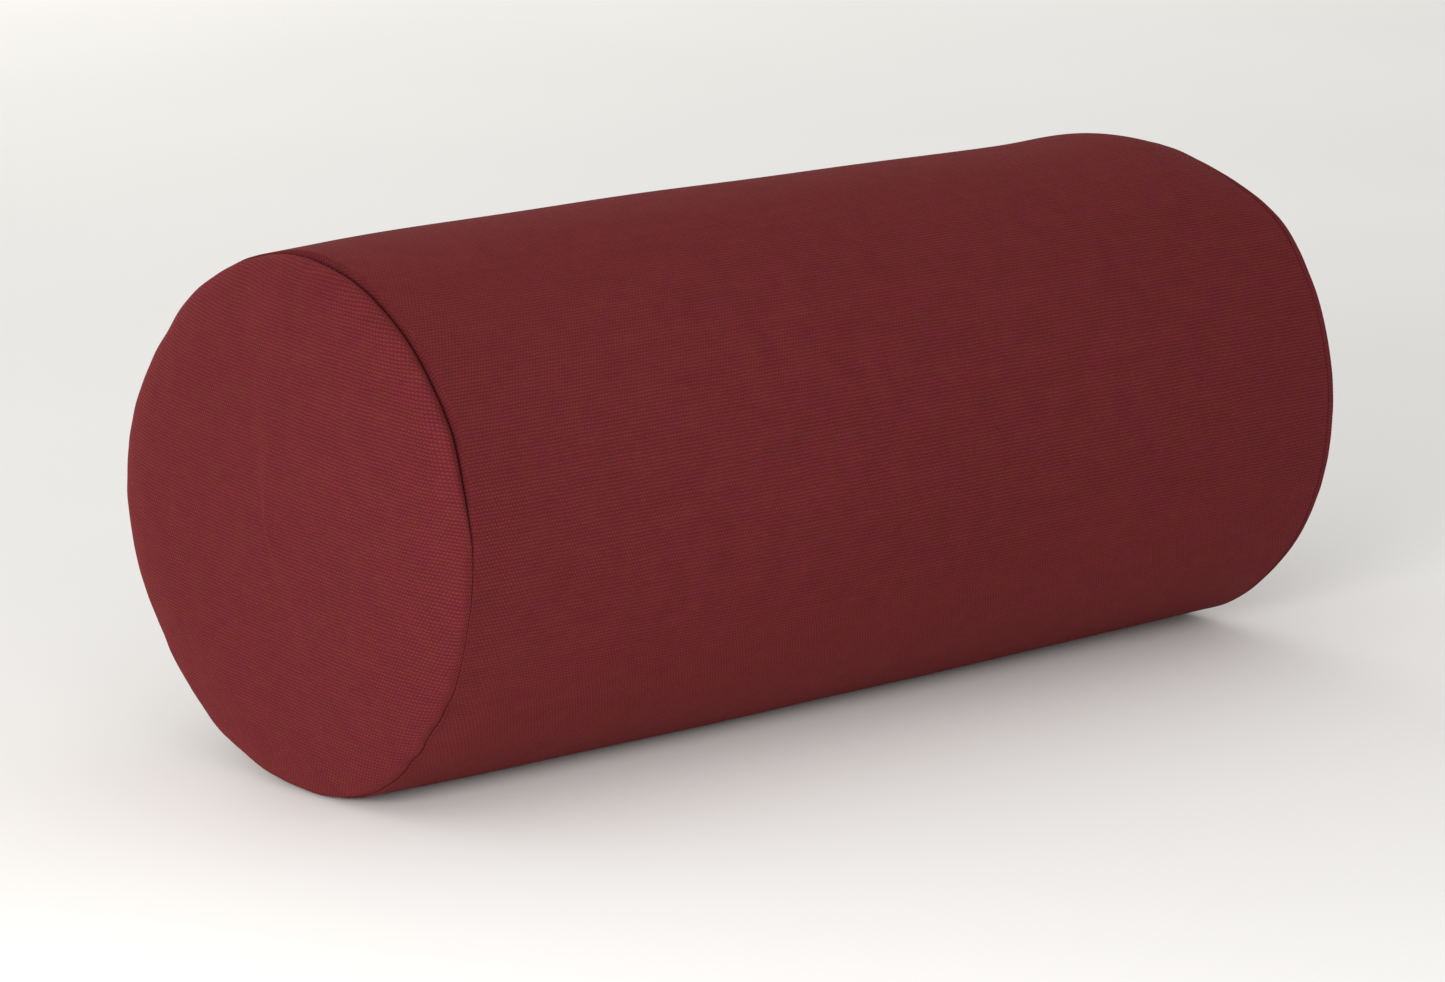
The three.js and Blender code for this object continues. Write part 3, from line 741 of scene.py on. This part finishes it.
def wrap():
    tufts = ripple(72, 20, (5, 30), (-45, 45), 0.35 * MM)
    butt = math.radians(-50)
    th = np.concatenate([np.linspace(butt + 0.007, 2 * PI + butt - 0.007, 200)])
    xs = np.linspace(W_LO[0] + 0.3 * MM, W_HI[0] - 0.3 * MM, 60)
    X, TH = np.meshgrid(xs, th, indexing="ij")
    channel = math.radians(14.3)
    off = np.abs(around(TH, 0.0))
    outer = (W_HI[1] - 0.0) * np.ones_like(TH)
    outer = R - CLOTH - 1.6 * MM + tufts(X, TH)
    outer = outer + slump(-1, TH, X + HALF) + slump(1, TH, HALF - X)
    outer = np.where(off < channel, np.minimum(outer, 70.6 * MM), outer)
    blend_ = smoothstep(channel, channel + 0.03, off)
    outer = 70.5 * MM * (1 - blend_) + outer * blend_
    inner = CORE_R + 0.5 * MM + 0 * TH
    X = X + drawn(-1, TH) * np.exp(-(X + HALF) / (28 * MM)) - drawn(1, TH) * np.exp(-(HALF - X) / (28 * MM))
    y, z = flatten(outer * np.cos(TH), outer * np.sin(TH), 1.8 * MM)
    A = np.stack([X, y, z + ZC], -1)
    B = np.stack([X, inner * np.cos(TH), inner * np.sin(TH) + ZC], -1)
    uv = np.stack([X, TH * R], -1)
    return shell("batting_sheet", A, B, uv, False, [batting])


sheet_wrap = wrap()
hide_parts("batting_wrap")
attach(sheet_wrap, "cover")


def end_batting(name, side, node):
    b_lo, b_hi = span(node)
    near = min(abs(b_lo[0]), abs(b_hi[0]))
    inset = 2.7 * MM
    line = [(near, 0)] + [(near, r * MM) for r in (15, 30, 45, 56)] + [(near, CORE_R - 0.8 * MM), (near + 0.8 * MM, CORE_R - 0.2 * MM)]
    line += [(SEAM + 1.6 * MM, CORE_R - 0.1 * MM), (SEAM + 1.9 * MM, CORE_R + 3 * MM), (SEAM + 2.0 * MM, R - inset - 1.5 * MM)]
    for t in np.linspace(0.35, PI / 2, 16):
        r = (R - inset) * math.cos(t) ** (2 / 3.86)
        d = (DOME - inset) * math.sin(t)
        if d > 3.2 * MM:
            line.append((SEAM + d, r if t < PI / 2 - 1e-6 else 0.0))
    tufts = ripple(80 + side, 14, (3, 18), (0, 0), 0.3 * MM)
    obj = lathe_solid(name, line, 128, [batting], side=side, wave=lambda x, th: (tufts(0, th) + slump(side, th, 0.0) - 5.5 * MM * np.maximum(looseness(side, th), drawn(side, th) / (2.7 * MM))) * smoothstep(SEAM + 1 * MM, SEAM + 3 * MM, x) - 0.1 * MM)
    me = obj.data
    co = np.empty(len(me.vertices) * 3)
    me.vertices.foreach_get("co", co)
    co = co.reshape(-1, 3)
    _, z = flatten(co[:, 1], co[:, 2] - ZC, inset)
    co[:, 2] = z + ZC
    me.vertices.foreach_set("co", co.ravel())
    me.update()
    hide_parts(node)
    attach(obj, "cover")
    return obj


end_batting("batting_disc_left", -1, "left_end_batting")
end_batting("batting_disc_right", 1, "right_end_batting")


# ---- thread: many short stitches in one piece -------------------------------------------------------
def stitches(name, paths, radius, sides=8):
    """Each path is one stitch: a list of points. Tubes with rounded ends, in one mesh."""
    verts, faces, uvs = [], [], []
    for path in paths:
        P = np.array(path)
        T = np.gradient(P, axis=0)
        T /= np.linalg.norm(T, axis=1)[:, None]
        base = len(verts)
        along = np.concatenate([[0], np.cumsum(np.linalg.norm(np.diff(P, axis=0), axis=1))])
        up = np.array([0.0, 1.0, 0.0]) if abs(T[0][1]) < 0.9 else np.array([0.0, 0.0, 1.0])
        n = len(P)
        for i in range(n):
            a = np.cross(T[i], up)
            a /= np.linalg.norm(a)
            b = np.cross(a, T[i])
            rr = radius * (0.45 if i in (0, n - 1) else 1.0)
            for k in range(sides):
                w = 2 * PI * k / sides
                verts.append(P[i] + rr * (math.cos(w) * a + math.sin(w) * b))
                uvs.append((along[i], k / sides))
        for i in range(n - 1):
            for k in range(sides):
                m = (k + 1) % sides
                faces.append([base + i * sides + k, base + i * sides + m, base + (i + 1) * sides + m, base + (i + 1) * sides + k])
        faces.append([base + k for k in range(sides)][::-1])
        faces.append([base + (n - 1) * sides + k for k in range(sides)])
    return mesh_object(name, verts, faces, uvs, mats=[thread])


def on_tube(x, s, r):
    th = s / R
    return np.array([x, r * math.cos(th), r * math.sin(th) + ZC])


def surface_point(x, s):
    """Where a line out of the axis at arc length s meets the finished body panel."""
    for slip in (0.0, 0.013, -0.017, 0.041):
        th = (s + slip * MM) / R
        d = Vector((0, math.cos(th), math.sin(th)))
        start = Vector((x + slip * MM, 0, ZC)) + d * (R + 12 * MM)
        hit, normal, _, _ = body_tree.ray_cast(start, -d, 0.03)
        if hit:
            break
    return hit, normal


body_tree = BVHTree.FromPolygons([v.co.copy() for v in body.data.vertices], [tuple(p.vertices) for p in body.data.polygons])

PITCH = 3.4 * MM
for label, sgn in (("upper", 1), ("lower", -1)):
    paths = []
    count = int(2 * (OPEN - 1.2 * MM) / PITCH)
    for k in range(count):
        x0 = -OPEN + 1.2 * MM + k * PITCH
        s = sgn * ROW
        pts = []
        for f in (0.0, 0.12, 0.3, 0.5, 0.7, 0.88, 1.0):
            x = x0 + f * (PITCH - 0.35 * MM)
            hit, _ = surface_point(x, s)
            r = math.hypot(hit.y, hit.z - ZC) if hit else R
            lift = 0.26 * MM * math.sin(PI * f) ** 0.6 - 0.12 * MM if 0 < f < 1 else -0.42 * MM
            pts.append(on_tube(x, s + 0.05 * MM * math.sin(k * 1.7), r + lift))
        paths.append(pts)
    row = stitches("topstitch_" + label, paths, 0.19 * MM)
    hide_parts("zipper_topstitch_" + label)
    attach(row, "cover")

for label, sgn in (("left", -1), ("right", 1)):
    t_lo, t_hi = span(label + "_end_tack")
    paths = []
    g = np.random.default_rng(90 + sgn)
    x_mid = (t_lo[0] + t_hi[0]) / 2
    for k in range(34):
        s = (-9.6 + 19.2 * k / 33) * MM
        pts = []
        for f in (0.0, 0.2, 0.5, 0.8, 1.0):
            x = x_mid + (f - 0.5) * (1.7 + 0.25 * g.uniform(-1, 1)) * MM
            hit, _ = surface_point(x, s)
            r = math.hypot(hit.y, hit.z - ZC) if hit else R
            lift = 0.24 * MM if 0 < f < 1 else -0.25 * MM
            pts.append(on_tube(x, s + 0.12 * MM * (f - 0.5), r + lift))
        paths.append(pts)
    tack = stitches(label + "_bar_tack", paths, 0.21 * MM, sides=6)
    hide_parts(label + "_end_tack")
    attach(tack, "cover")
    # lockstitch inside the end seam, on the body panel's turned-in edge
    paths = []
    n = 150
    s_lo, s_hi = span(label + "_seam_thread")
    r_in = (s_hi[1] - s_lo[1]) / 2 - 0.25 * MM
    x_in = (s_lo[0] + s_hi[0]) / 2
    for k in range(n):
        a0 = 2 * PI * k / n
        pts = []
        for f in (0.0, 0.15, 0.5, 0.85, 1.0):
            th = a0 + f * 2 * PI / n * 0.88
            rr = r_in + float(slump(sgn, th, 0.0))
            y, z = flatten(rr * math.cos(th), rr * math.sin(th), R - r_in)
            x = x_in + sgn * float(seam_shift(sgn, th, 0.0))
            pts.append(np.array([x, float(y), float(z) + ZC]))
        paths.append(pts)
    ring = stitches(label + "_lockstitch", paths, 0.17 * MM, sides=6)
    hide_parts(label + "_seam_thread")
    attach(ring, "cover")


# ---- zipper ----------------------------------------------------------------------------------------
def tape(label, sgn):
    node = "zipper_tape_" + label
    t_lo, t_hi = span(node)
    out = t_hi[1]
    xs = np.linspace(t_lo[0], t_hi[0], 150)
    ss = np.array([0.36, 0.8, 1.3, 1.8, 2.4, 3.0, 3.5, 4.0, 4.6, 5.3, 6.0, 7, 9, 11, 13, 15, 15.9]) * MM
    X, S = np.meshgrid(xs, ss, indexing="ij")
    # faint waves where it is sewn down
    swell = -0.02 * MM - 0.05 * MM * (1 - np.cos(2 * PI * X / (31 * MM))) * np.exp(-(((S - 5 * MM) / (2 * MM)) ** 2))
    th = sgn * S / out

    def layer(r):
        return np.stack([X, r * np.cos(th), r * np.sin(th) + ZC], -1)

    A, B = layer(out + swell), layer(out - 0.6 * MM + 0 * swell)
    uv = np.stack([X + 0.3, S + 0.5], -1)
    obj = shell("tape_" + label, A, B, uv, False, [tape_cloth])
    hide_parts(node)
    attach(obj, "cover")
    return obj


def coil(label, sgn):
    node = "zipper_coil_" + label
    c_lo, c_hi = span(node)
    y_mid = (c_lo[1] + c_hi[1]) / 2
    wire = 0.27 * MM
    b = (c_hi[1] - c_lo[1]) / 2 - wire
    pitch = 1.3 * MM
    x0, x1 = c_lo[0] + 0.5 * MM, c_hi[0] - 0.5 * MM
    loops = int((x1 - x0) / pitch)
    per = 14
    t = np.arange(loops * per + 1) / per
    head, heel = 0.67 * MM, 2.72 * MM
    a = (heel - head) / 2
    ang = 2 * PI * t
    cs, sn = np.cos(ang), np.sin(ang)
    sup = 0.72
    xs = x0 + pitch * t + (0.5 * pitch if sgn > 0 else 0) - 0.25 * pitch
    spread = smoothstep(SX - 1.5 * MM, SX + 2.0 * MM, xs) * 0.95 * MM
    s = (head + heel) / 2 + a * np.sign(cs) * np.abs(cs) ** sup + spread
    y = y_mid + b * np.sign(sn) * np.abs(sn) ** sup
    P = np.stack([xs, y, ZC + sgn * s], -1)
    sides = 6
    T = np.gradient(P, axis=0)
    T /= np.linalg.norm(T, axis=1)[:, None]
    up = np.array([1.0, 0, 0])
    a1 = np.cross(T, up)
    a1 /= np.linalg.norm(a1, axis=1)[:, None]
    b1 = np.cross(a1, T)
    w = np.arange(sides) * 2 * PI / sides
    # the head of each loop is pressed a little wider
    flare = 1 + 0.25 * np.clip(-cs, 0, 1) ** 4
    V = P[:, None, :] + wire * flare[:, None, None] * (np.cos(w)[None, :, None] * a1[:, None, :] + np.sin(w)[None, :, None] * b1[:, None, :])
    n = len(P)
    faces = strip(n, sides, 0, True)
    faces.append(list(range(sides))[::-1])
    faces.append([(n - 1) * sides + k for k in range(sides)])
    obj = mesh_object("coil_" + label, V.reshape(-1, 3), faces, mats=[nylon])
    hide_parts(node)
    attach(obj, "cover")
    return obj


for label, sgn in (("upper", 1), ("lower", -1)):
    tape(label, sgn)
    coil(label, sgn)


def bevelled(obj, width, segments=2, angle=30):
    mod = obj.modifiers.new("bevel", "BEVEL")
    mod.width = width
    mod.segments = segments
    mod.limit_method = "ANGLE"
    mod.angle_limit = math.radians(angle)
    mod.harden_normals = False
    bpy.context.view_layer.objects.active = obj
    with bpy.context.temp_override(object=obj, active_object=obj, selected_objects=[obj]):
        bpy.ops.object.modifier_apply(modifier=mod.name)
    return obj


def plate(bm, outline, y0, y1, holes=()):
    """A flat piece with its outline in x and z (from the axis), between y0 and y1."""
    loops = []
    for ring in (outline, *holes):
        vs = [bm.verts.new((x, y0, z + ZC)) for x, z in ring]
        loops.append([bm.edges.new((vs[i], vs[(i + 1) % len(vs)])) for i in range(len(vs))])
    made = bmesh.ops.triangle_fill(bm, use_beauty=True, edges=[e for r in loops for e in r])
    flat = [f for f in made["geom"] if isinstance(f, bmesh.types.BMFace)]
    if not holes:
        bmesh.ops.dissolve_faces(bm, faces=flat)
        flat = [f for f in bm.faces if all(v in [w for e in loops[0] for w in e.verts] for v in f.verts)]
    res = bmesh.ops.extrude_face_region(bm, geom=flat)
    bmesh.ops.translate(bm, vec=(0, y1 - y0, 0), verts=[g for g in res["geom"] if isinstance(g, bmesh.types.BMVert)])


def rounded(points, radius, steps=4):
    """Rounds the corners of a closed outline."""
    out = []
    n = len(points)
    for i in range(n):
        p0, p1, p2 = (np.array(points[(i + k) % n], float) for k in (-1, 0, 1))
        a, b = p0 - p1, p2 - p1
        la, lb = np.linalg.norm(a), np.linalg.norm(b)
        a, b = a / la, b / lb
        half = math.acos(np.clip(np.dot(a, b), -1, 1)) / 2
        cut = min(radius / math.tan(half), la * 0.48, lb * 0.48) if half < PI / 2 - 0.02 else 0
        if cut <= 0:
            out.append(tuple(p1))
            continue
        for k in range(steps + 1):
            f = k / steps
            q = (1 - f) ** 2 * (p1 + a * cut) + 2 * f * (1 - f) * p1 + f * f * (p1 + b * cut)
            out.append(tuple(q))
    return out


def object_of(name, bm, mats):
    bmesh.ops.remove_doubles(bm, verts=bm.verts, dist=1e-7)
    bmesh.ops.recalc_face_normals(bm, faces=bm.faces)
    me = bpy.data.meshes.new(name)
    bm.to_mesh(me)
    bm.free()
    for m in mats:
        me.materials.append(m)
    return link(bpy.data.objects.new(name, me))


def join(name, objs):
    with bpy.context.temp_override(active_object=objs[0], object=objs[0], selected_objects=objs, selected_editable_objects=objs):
        bpy.ops.object.join()
    objs[0].name = name
    objs[0].data.name = name
    return objs[0]


def smooth_by_angle(obj, deg=35):
    obj.data.polygons.foreach_set("use_smooth", [True] * len(obj.data.polygons))
    me = obj.data
    bm = bmesh.new()
    bm.from_mesh(me)
    for e in bm.edges:
        if len(e.link_faces) == 2:
            e.smooth = e.calc_face_angle(0) < math.radians(deg)
    bm.to_mesh(me)
    bm.free()
    return obj


def slider():
    half = (SL_HI[0] - SL_LO[0]) / 2
    wide = (SL_HI[2] - SL_LO[2]) / 2
    tail = wide - 1.0 * MM
    x = SX
    shield = rounded(
        [
            (x - half, -tail),
            (x - 0.5 * MM, -tail),
            (x + 2.5 * MM, -wide),
            (x + half, -wide),
            (x + half, wide),
            (x + 2.5 * MM, wide),
            (x - 0.5 * MM, tail),
            (x - half, tail),
        ],
        1.1 * MM,
    )
    tape_in = span("zipper_tape_upper")[1][1] - 0.6 * MM
    top0, top1 = 76.4 * MM, 77.6 * MM
    bot1 = tape_in - 0.3 * MM
    bot0 = bot1 - 1.2 * MM
    bm = bmesh.new()
    plate(bm, shield, top0, top1)
    top = bevelled(object_of("slider_top", bm, [metal]), 0.35 * MM, 3)
    bm = bmesh.new()
    plate(bm, shield, bot0, bot1)
    bottom = bevelled(object_of("slider_bottom", bm, [metal]), 0.3 * MM, 2)
    parts = [top, bottom]
    for sg in (1, -1):
        bm = bmesh.new()
        line = [
            (x - half + 1 * MM, tail - 0.05 * MM),
            (x - 0.5 * MM, tail - 0.05 * MM),
            (x + 2.5 * MM, wide - 0.05 * MM),
            (x + half - 1.5 * MM, wide - 0.05 * MM),
            (x + half - 1.5 * MM, wide - 0.9 * MM),
            (x + 2.5 * MM, wide - 0.9 * MM),
            (x - 0.5 * MM, tail - 0.9 * MM),
            (x - half + 1 * MM, tail - 0.9 * MM),
        ]
        plate(bm, [(a, b * sg) for a, b in line], 73.95 * MM, top0 + 0.3 * MM)
        parts.append(bevelled(object_of("slider_rim", bm, [metal]), 0.2 * MM, 2))
    bm = bmesh.new()
    post = [(x + 2.4 * MM, 0), (x + 3.0 * MM, -0.28 * MM), (x + 5.3 * MM, -0.28 * MM), (x + 5.3 * MM, 0.28 * MM), (x + 3.0 * MM, 0.28 * MM)]
    plate(bm, post, bot1 - 0.3 * MM, top0 + 0.3 * MM)
    parts.append(object_of("slider_post", bm, [metal]))
    # bail: a flat bar bent over the pull tab's cross bar
    crown = SL_HI[1] - 0.5 * MM
    foot = top1 - 0.35 * MM
    bm = bmesh.new()
    path = []
    leg = 3.8 * MM
    for f in np.linspace(0, 1, 17):
        a = PI * (1 - f)
        px = x + leg * np.sign(math.cos(a)) * abs(math.cos(a)) ** 0.55
        py = foot + (crown - foot) * abs(math.sin(a)) ** 0.5
        path.append((px, py))
    P = np.array(path)
    T = np.gradient(P, axis=0)
    T /= np.linalg.norm(T, axis=1)[:, None]
    N = np.stack([-T[:, 1], T[:, 0]], -1)
    rings = []
    for (px, py), (nx, ny), f in zip(P, N, np.linspace(0, 1, len(P))):
        thick = 0.5 * MM
        width = (1.1 - 0.15 * math.sin(PI * f)) * MM
        ring = []
        for w in np.linspace(0, 2 * PI, 12, endpoint=False):
            cw, sw = math.cos(w), math.sin(w)
            uu = thick * np.sign(cw) * abs(cw) ** 0.6
            vv = width * np.sign(sw) * abs(sw) ** 0.6
            ring.append(bm.verts.new((px + nx * uu, py + ny * uu, ZC + vv)))
        rings.append(ring)
    for r0, r1 in zip(rings, rings[1:]):
        for k in range(12):
            m = (k + 1) % 12
            bm.faces.new((r0[k], r0[m], r1[m], r1[k]))
    bm.faces.new(rings[0])
    bm.faces.new(rings[-1][::-1])
    parts.append(object_of("slider_bail", bm, [metal]))
    obj = smooth_by_angle(join("slider_body", parts), 40)
    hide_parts("zipper_slider")
    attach(obj, "slider")
    return obj


def pull_tab():
    x, tip = SX, TAB_LO[0]
    wide = (TAB_HI[2] - TAB_LO[2]) / 2
    y0, y1 = TAB_LO[1], TAB_HI[1]
    mid = (y0 + y1) / 2
    arm = 2.7 * MM
    outline = [
        (tip, -wide * 0.72),
        (tip + 1.6 * MM, -wide),
        (x - 16 * MM, -wide),
        (x - 9 * MM, -arm * 0.92),
        (x - 5.5 * MM, -arm),
        (x + 0.0 * MM, -arm),
        (x + 0.0 * MM, arm),
        (x - 5.5 * MM, arm),
        (x - 9 * MM, arm * 0.92),
        (x - 16 * MM, wide),
        (tip + 1.6 * MM, wide),
        (tip, wide * 0.72),
    ]
    hole = [(x - 5.2 * MM, -1.5 * MM), (x - 0.45 * MM, -1.5 * MM), (x - 0.45 * MM, 1.5 * MM), (x - 5.2 * MM, 1.5 * MM)]
    slot = [(x - 19.5 * MM, -1.0 * MM), (x - 11.5 * MM, -0.8 * MM), (x - 11.5 * MM, 0.8 * MM), (x - 19.5 * MM, 1.0 * MM)]
    bm = bmesh.new()
    plate(bm, rounded(outline, 1.2 * MM, 3), y0 + 0.12 * MM, y1 - 0.12 * MM, holes=[rounded(hole, 0.7 * MM, 3), rounded(slot, 0.8 * MM, 4)])
    flat = bevelled(object_of("tab_plate", bm, [metal]), 0.2 * MM, 2, 50)
    # raised rim round the grip
    parts = [flat]
    rim_line = rounded(
        [(tip + 0.5 * MM, -wide * 0.66), (tip + 1.9 * MM, -wide + 0.5 * MM), (x - 15.8 * MM, -wide + 0.5 * MM), (x - 10.4 * MM, -1.9 * MM),
         (x - 10.4 * MM, 1.9 * MM), (x - 15.8 * MM, wide - 0.5 * MM), (tip + 1.9 * MM, wide - 0.5 * MM), (tip + 0.5 * MM, wide * 0.66)],
        1.0 * MM, 4,
    )
    for yy in (y1 - 0.14 * MM, y0 + 0.14 * MM):
        bm = bmesh.new()
        n = len(rim_line)
        rings = []
        for i in range(n):
            p0, p1, p2 = (np.array(rim_line[(i + k) % n]) for k in (-1, 0, 1))
            t = p2 - p0
            t = t / np.linalg.norm(t)
            nx, nz = -t[1], t[0]
            ring = []
            for w in np.linspace(0, 2 * PI, 8, endpoint=False):
                a, b = 0.30 * MM * math.cos(w), 0.14 * MM * math.sin(w)
                ring.append(bm.verts.new((p1[0] + nx * a, yy + b, p1[1] + nz * a + ZC)))
            rings.append(ring)
        for i in range(n):
            r0, r1 = rings[i], rings[(i + 1) % n]
            for k in range(8):
                m = (k + 1) % 8
                bm.faces.new((r0[k], r0[m], r1[m], r1[k]))
        parts.append(object_of("tab_rim", bm, [metal]))
    bm = bmesh.new()
    bmesh.ops.create_cone(bm, cap_ends=True, segments=20, radius1=0.55 * MM, radius2=0.55 * MM, depth=2 * arm - 0.1 * MM)
    bmesh.ops.translate(bm, verts=bm.verts, vec=(x, mid, ZC))
    parts.append(bevelled(object_of("tab_bar", bm, [metal]), 0.12 * MM, 2, 60))
    obj = smooth_by_angle(join("pull_tab_plate", parts), 40)
    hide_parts("zipper_pull_tab")
    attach(obj, "pull_tab")
    return obj


slider()
pull_tab()


def stop(name, node, teeth):
    """A crimped metal stop: a block round the coil with its edges pressed in."""
    n_lo, n_hi = span(node)
    bm = bmesh.new()
    bmesh.ops.create_cube(bm, size=1.0)
    size = n_hi - n_lo
    for v in bm.verts:
        v.co = Vector(((v.co.x * size[0]), v.co.y * size[1], v.co.z * size[2])) + Vector((n_lo + n_hi) / 2)
    bmesh.ops.subdivide_edges(bm, edges=[e for e in bm.edges if abs((e.verts[0].co - e.verts[1].co).z) > size[2] * 0.9], cuts=teeth)
    for v in bm.verts:
        f = (v.co.z - n_lo[2]) / size[2]
        pinch = 0.10 * math.sin(PI * f)
        v.co.x = (n_lo[0] + n_hi[0]) / 2 + (v.co.x - (n_lo[0] + n_hi[0]) / 2) * (1 - pinch)
    obj = bevelled(object_of(name, bm, [metal]), 0.35 * MM, 3, 40)
    smooth_by_angle(obj, 40)
    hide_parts(node)
    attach(obj, "cover")
    return obj


stop("top_stop_upper", "zipper_top_stop_upper", 3)
stop("top_stop_lower", "zipper_top_stop_lower", 3)
stop("bottom_stop", "zipper_bottom_stop", 5)


# ---- blank sewn-in label ---------------------------------------------------------------------------
def label_piece():
    l_lo, l_hi = span("care_label")
    xs = np.linspace(l_lo[0] + 0.1 * MM, l_hi[0] - 0.1 * MM, 25)
    ss = -np.linspace(0.35, 33.6, 40) * MM
    X, S = np.meshgrid(xs, ss, indexing="ij")
    A = np.empty(X.shape + (3,))
    B = np.empty_like(A)
    for i in range(X.shape[0]):
        for j in range(X.shape[1]):
            x, s = X[i, j], S[i, j]
            hit, _ = surface_point(x, s)
            r = math.hypot(hit.y, hit.z - ZC)
            f = -s / (33.6 * MM)
            mid = (x - (l_lo[0] + l_hi[0]) / 2) / (l_hi[0] - l_lo[0])
            lift = 0.22 * MM + 1.5 * MM * smoothstep(0.35, 1.0, f) * (0.6 + 0.8 * mid) + 0.25 * MM * math.sin(5 * f + 3 * mid)  * f
            lift = max(lift, 0.2 * MM)
            th = s / R
            for arr, d in ((A, 0.26 * MM), (B, 0.0)):
                rr = r + lift + d
                arr[i, j] = (x, rr * math.cos(th), rr * math.sin(th) + ZC)
    uv = np.stack([X + 0.4, S + 0.4], -1)
    obj = shell("blank_label", A, B, uv, False, [satin])
    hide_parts("care_label")
    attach(obj, "cover")
    return obj


label_piece()

# ---- stage -------------------------------------------------------------------------------------------
FLOOR = 8.0
bm = bmesh.new()
bmesh.ops.create_grid(bm, x_segments=8, y_segments=8, size=FLOOR)
bmesh.ops.translate(bm, verts=bm.verts, vec=(0, 0, -0.02 * MM))
m = Nodes("studio_floor")
n = m.noise(m.place(), 3.0, 2.0)
m.set(Base_Color=m.mix(m.remap(n, 0.3, 0.7, 0, 1), (0.79, 0.79, 0.785, 1), (0.81, 0.81, 0.805, 1)), Roughness=0.9)
floor = object_of("floor", bm, [m.mat])

world = bpy.data.worlds.new("studio")
bpy.context.scene.world = world
world.use_nodes = True
# soft light all round: its strength in every direction, more from above, from the left end and from the front
EVEN, ABOVE, LEFT, FRONT = 0.85, -0.13, 0.12, 0.11
tree = world.node_tree
bg = tree.nodes["Background"]
way = tree.nodes.new("ShaderNodeSeparateXYZ")
tree.links.new(tree.nodes.new("ShaderNodeTexCoord").outputs["Generated"], way.inputs[0])


def world_math(op, x, y):
    node = tree.nodes.new("ShaderNodeMath")
    node.operation = op
    for sock, val in zip(node.inputs, (x, y)):
        if isinstance(val, bpy.types.NodeSocket):
            tree.links.new(val, sock)
        else:
            sock.default_value = val
    return node.outputs[0]


total = EVEN
for axis, sense, amount in ((2, 1.0, ABOVE), (0, -1.0, LEFT), (1, -1.0, FRONT)):
    lobe = world_math("MAXIMUM", world_math("MULTIPLY", way.outputs[axis], sense), 0.0)
    total = world_math("ADD", world_math("MULTIPLY", lobe, amount), total)
bg.inputs[0].default_value = (1.0, 0.99, 0.975, 1)
tree.links.new(total, bg.inputs[1])


def area(name, place, aim, size, power, colour=(1, 1, 1)):
    data = bpy.data.lights.new(name, "AREA")
    data.shape = "DISK"
    data.size = size
    data.energy = power
    data.color = colour
    obj = link(bpy.data.objects.new(name, data))
    obj.location = place
    obj.rotation_mode = "QUATERNION"
    obj.rotation_quaternion = (Vector(aim) - Vector(place)).to_track_quat("-Z", "Y")
    obj.visible_camera = False
    return obj


KEY_AT, KEY_POWER = (-0.965, -0.63, 0.325), 13.3
area("key", KEY_AT, (-0.02, 0, 0.07), 0.48, KEY_POWER, (1.0, 0.965, 0.94))

area("back", (0.665, 2.565, 0.735), (0, 0, 0.07), 1.52, 16.0, (1.0, 0.945, 0.83))

# ---- camera ------------------------------------------------------------------------------------------
AZ, EL = math.radians(-41.07), math.radians(12.36)
right = Vector((math.cos(AZ), math.sin(AZ), 0))
ahead = Vector((-math.sin(AZ) * math.cos(EL), math.cos(AZ) * math.cos(EL), -math.sin(EL)))
up = right.cross(ahead)
seam_eye = Vector((-1.511, 0.125, 19.613)) * R  # left seam's centre as the camera sees it: right, down, ahead
cam_data = bpy.data.cameras.new("camera")
cam_data.sensor_width = 36.0
cam_data.lens = 5504 * 36.0 / 1445
cam_data.clip_start, cam_data.clip_end = 0.05, 50
cam = link(bpy.data.objects.new("camera", cam_data))
cam.location = Vector((-HALF, 0, ZC)) - right * seam_eye.x + up * seam_eye.y - ahead * seam_eye.z
cam.rotation_mode = "QUATERNION"
cam.rotation_quaternion = Matrix((right, up, -ahead)).transposed().to_quaternion()
scene = bpy.context.scene
scene.camera = cam
scene.view_settings.view_transform = "Standard"
scene.view_settings.look = "None"
scene.view_settings.exposure = 0.0
scene.view_settings.gamma = 1.0
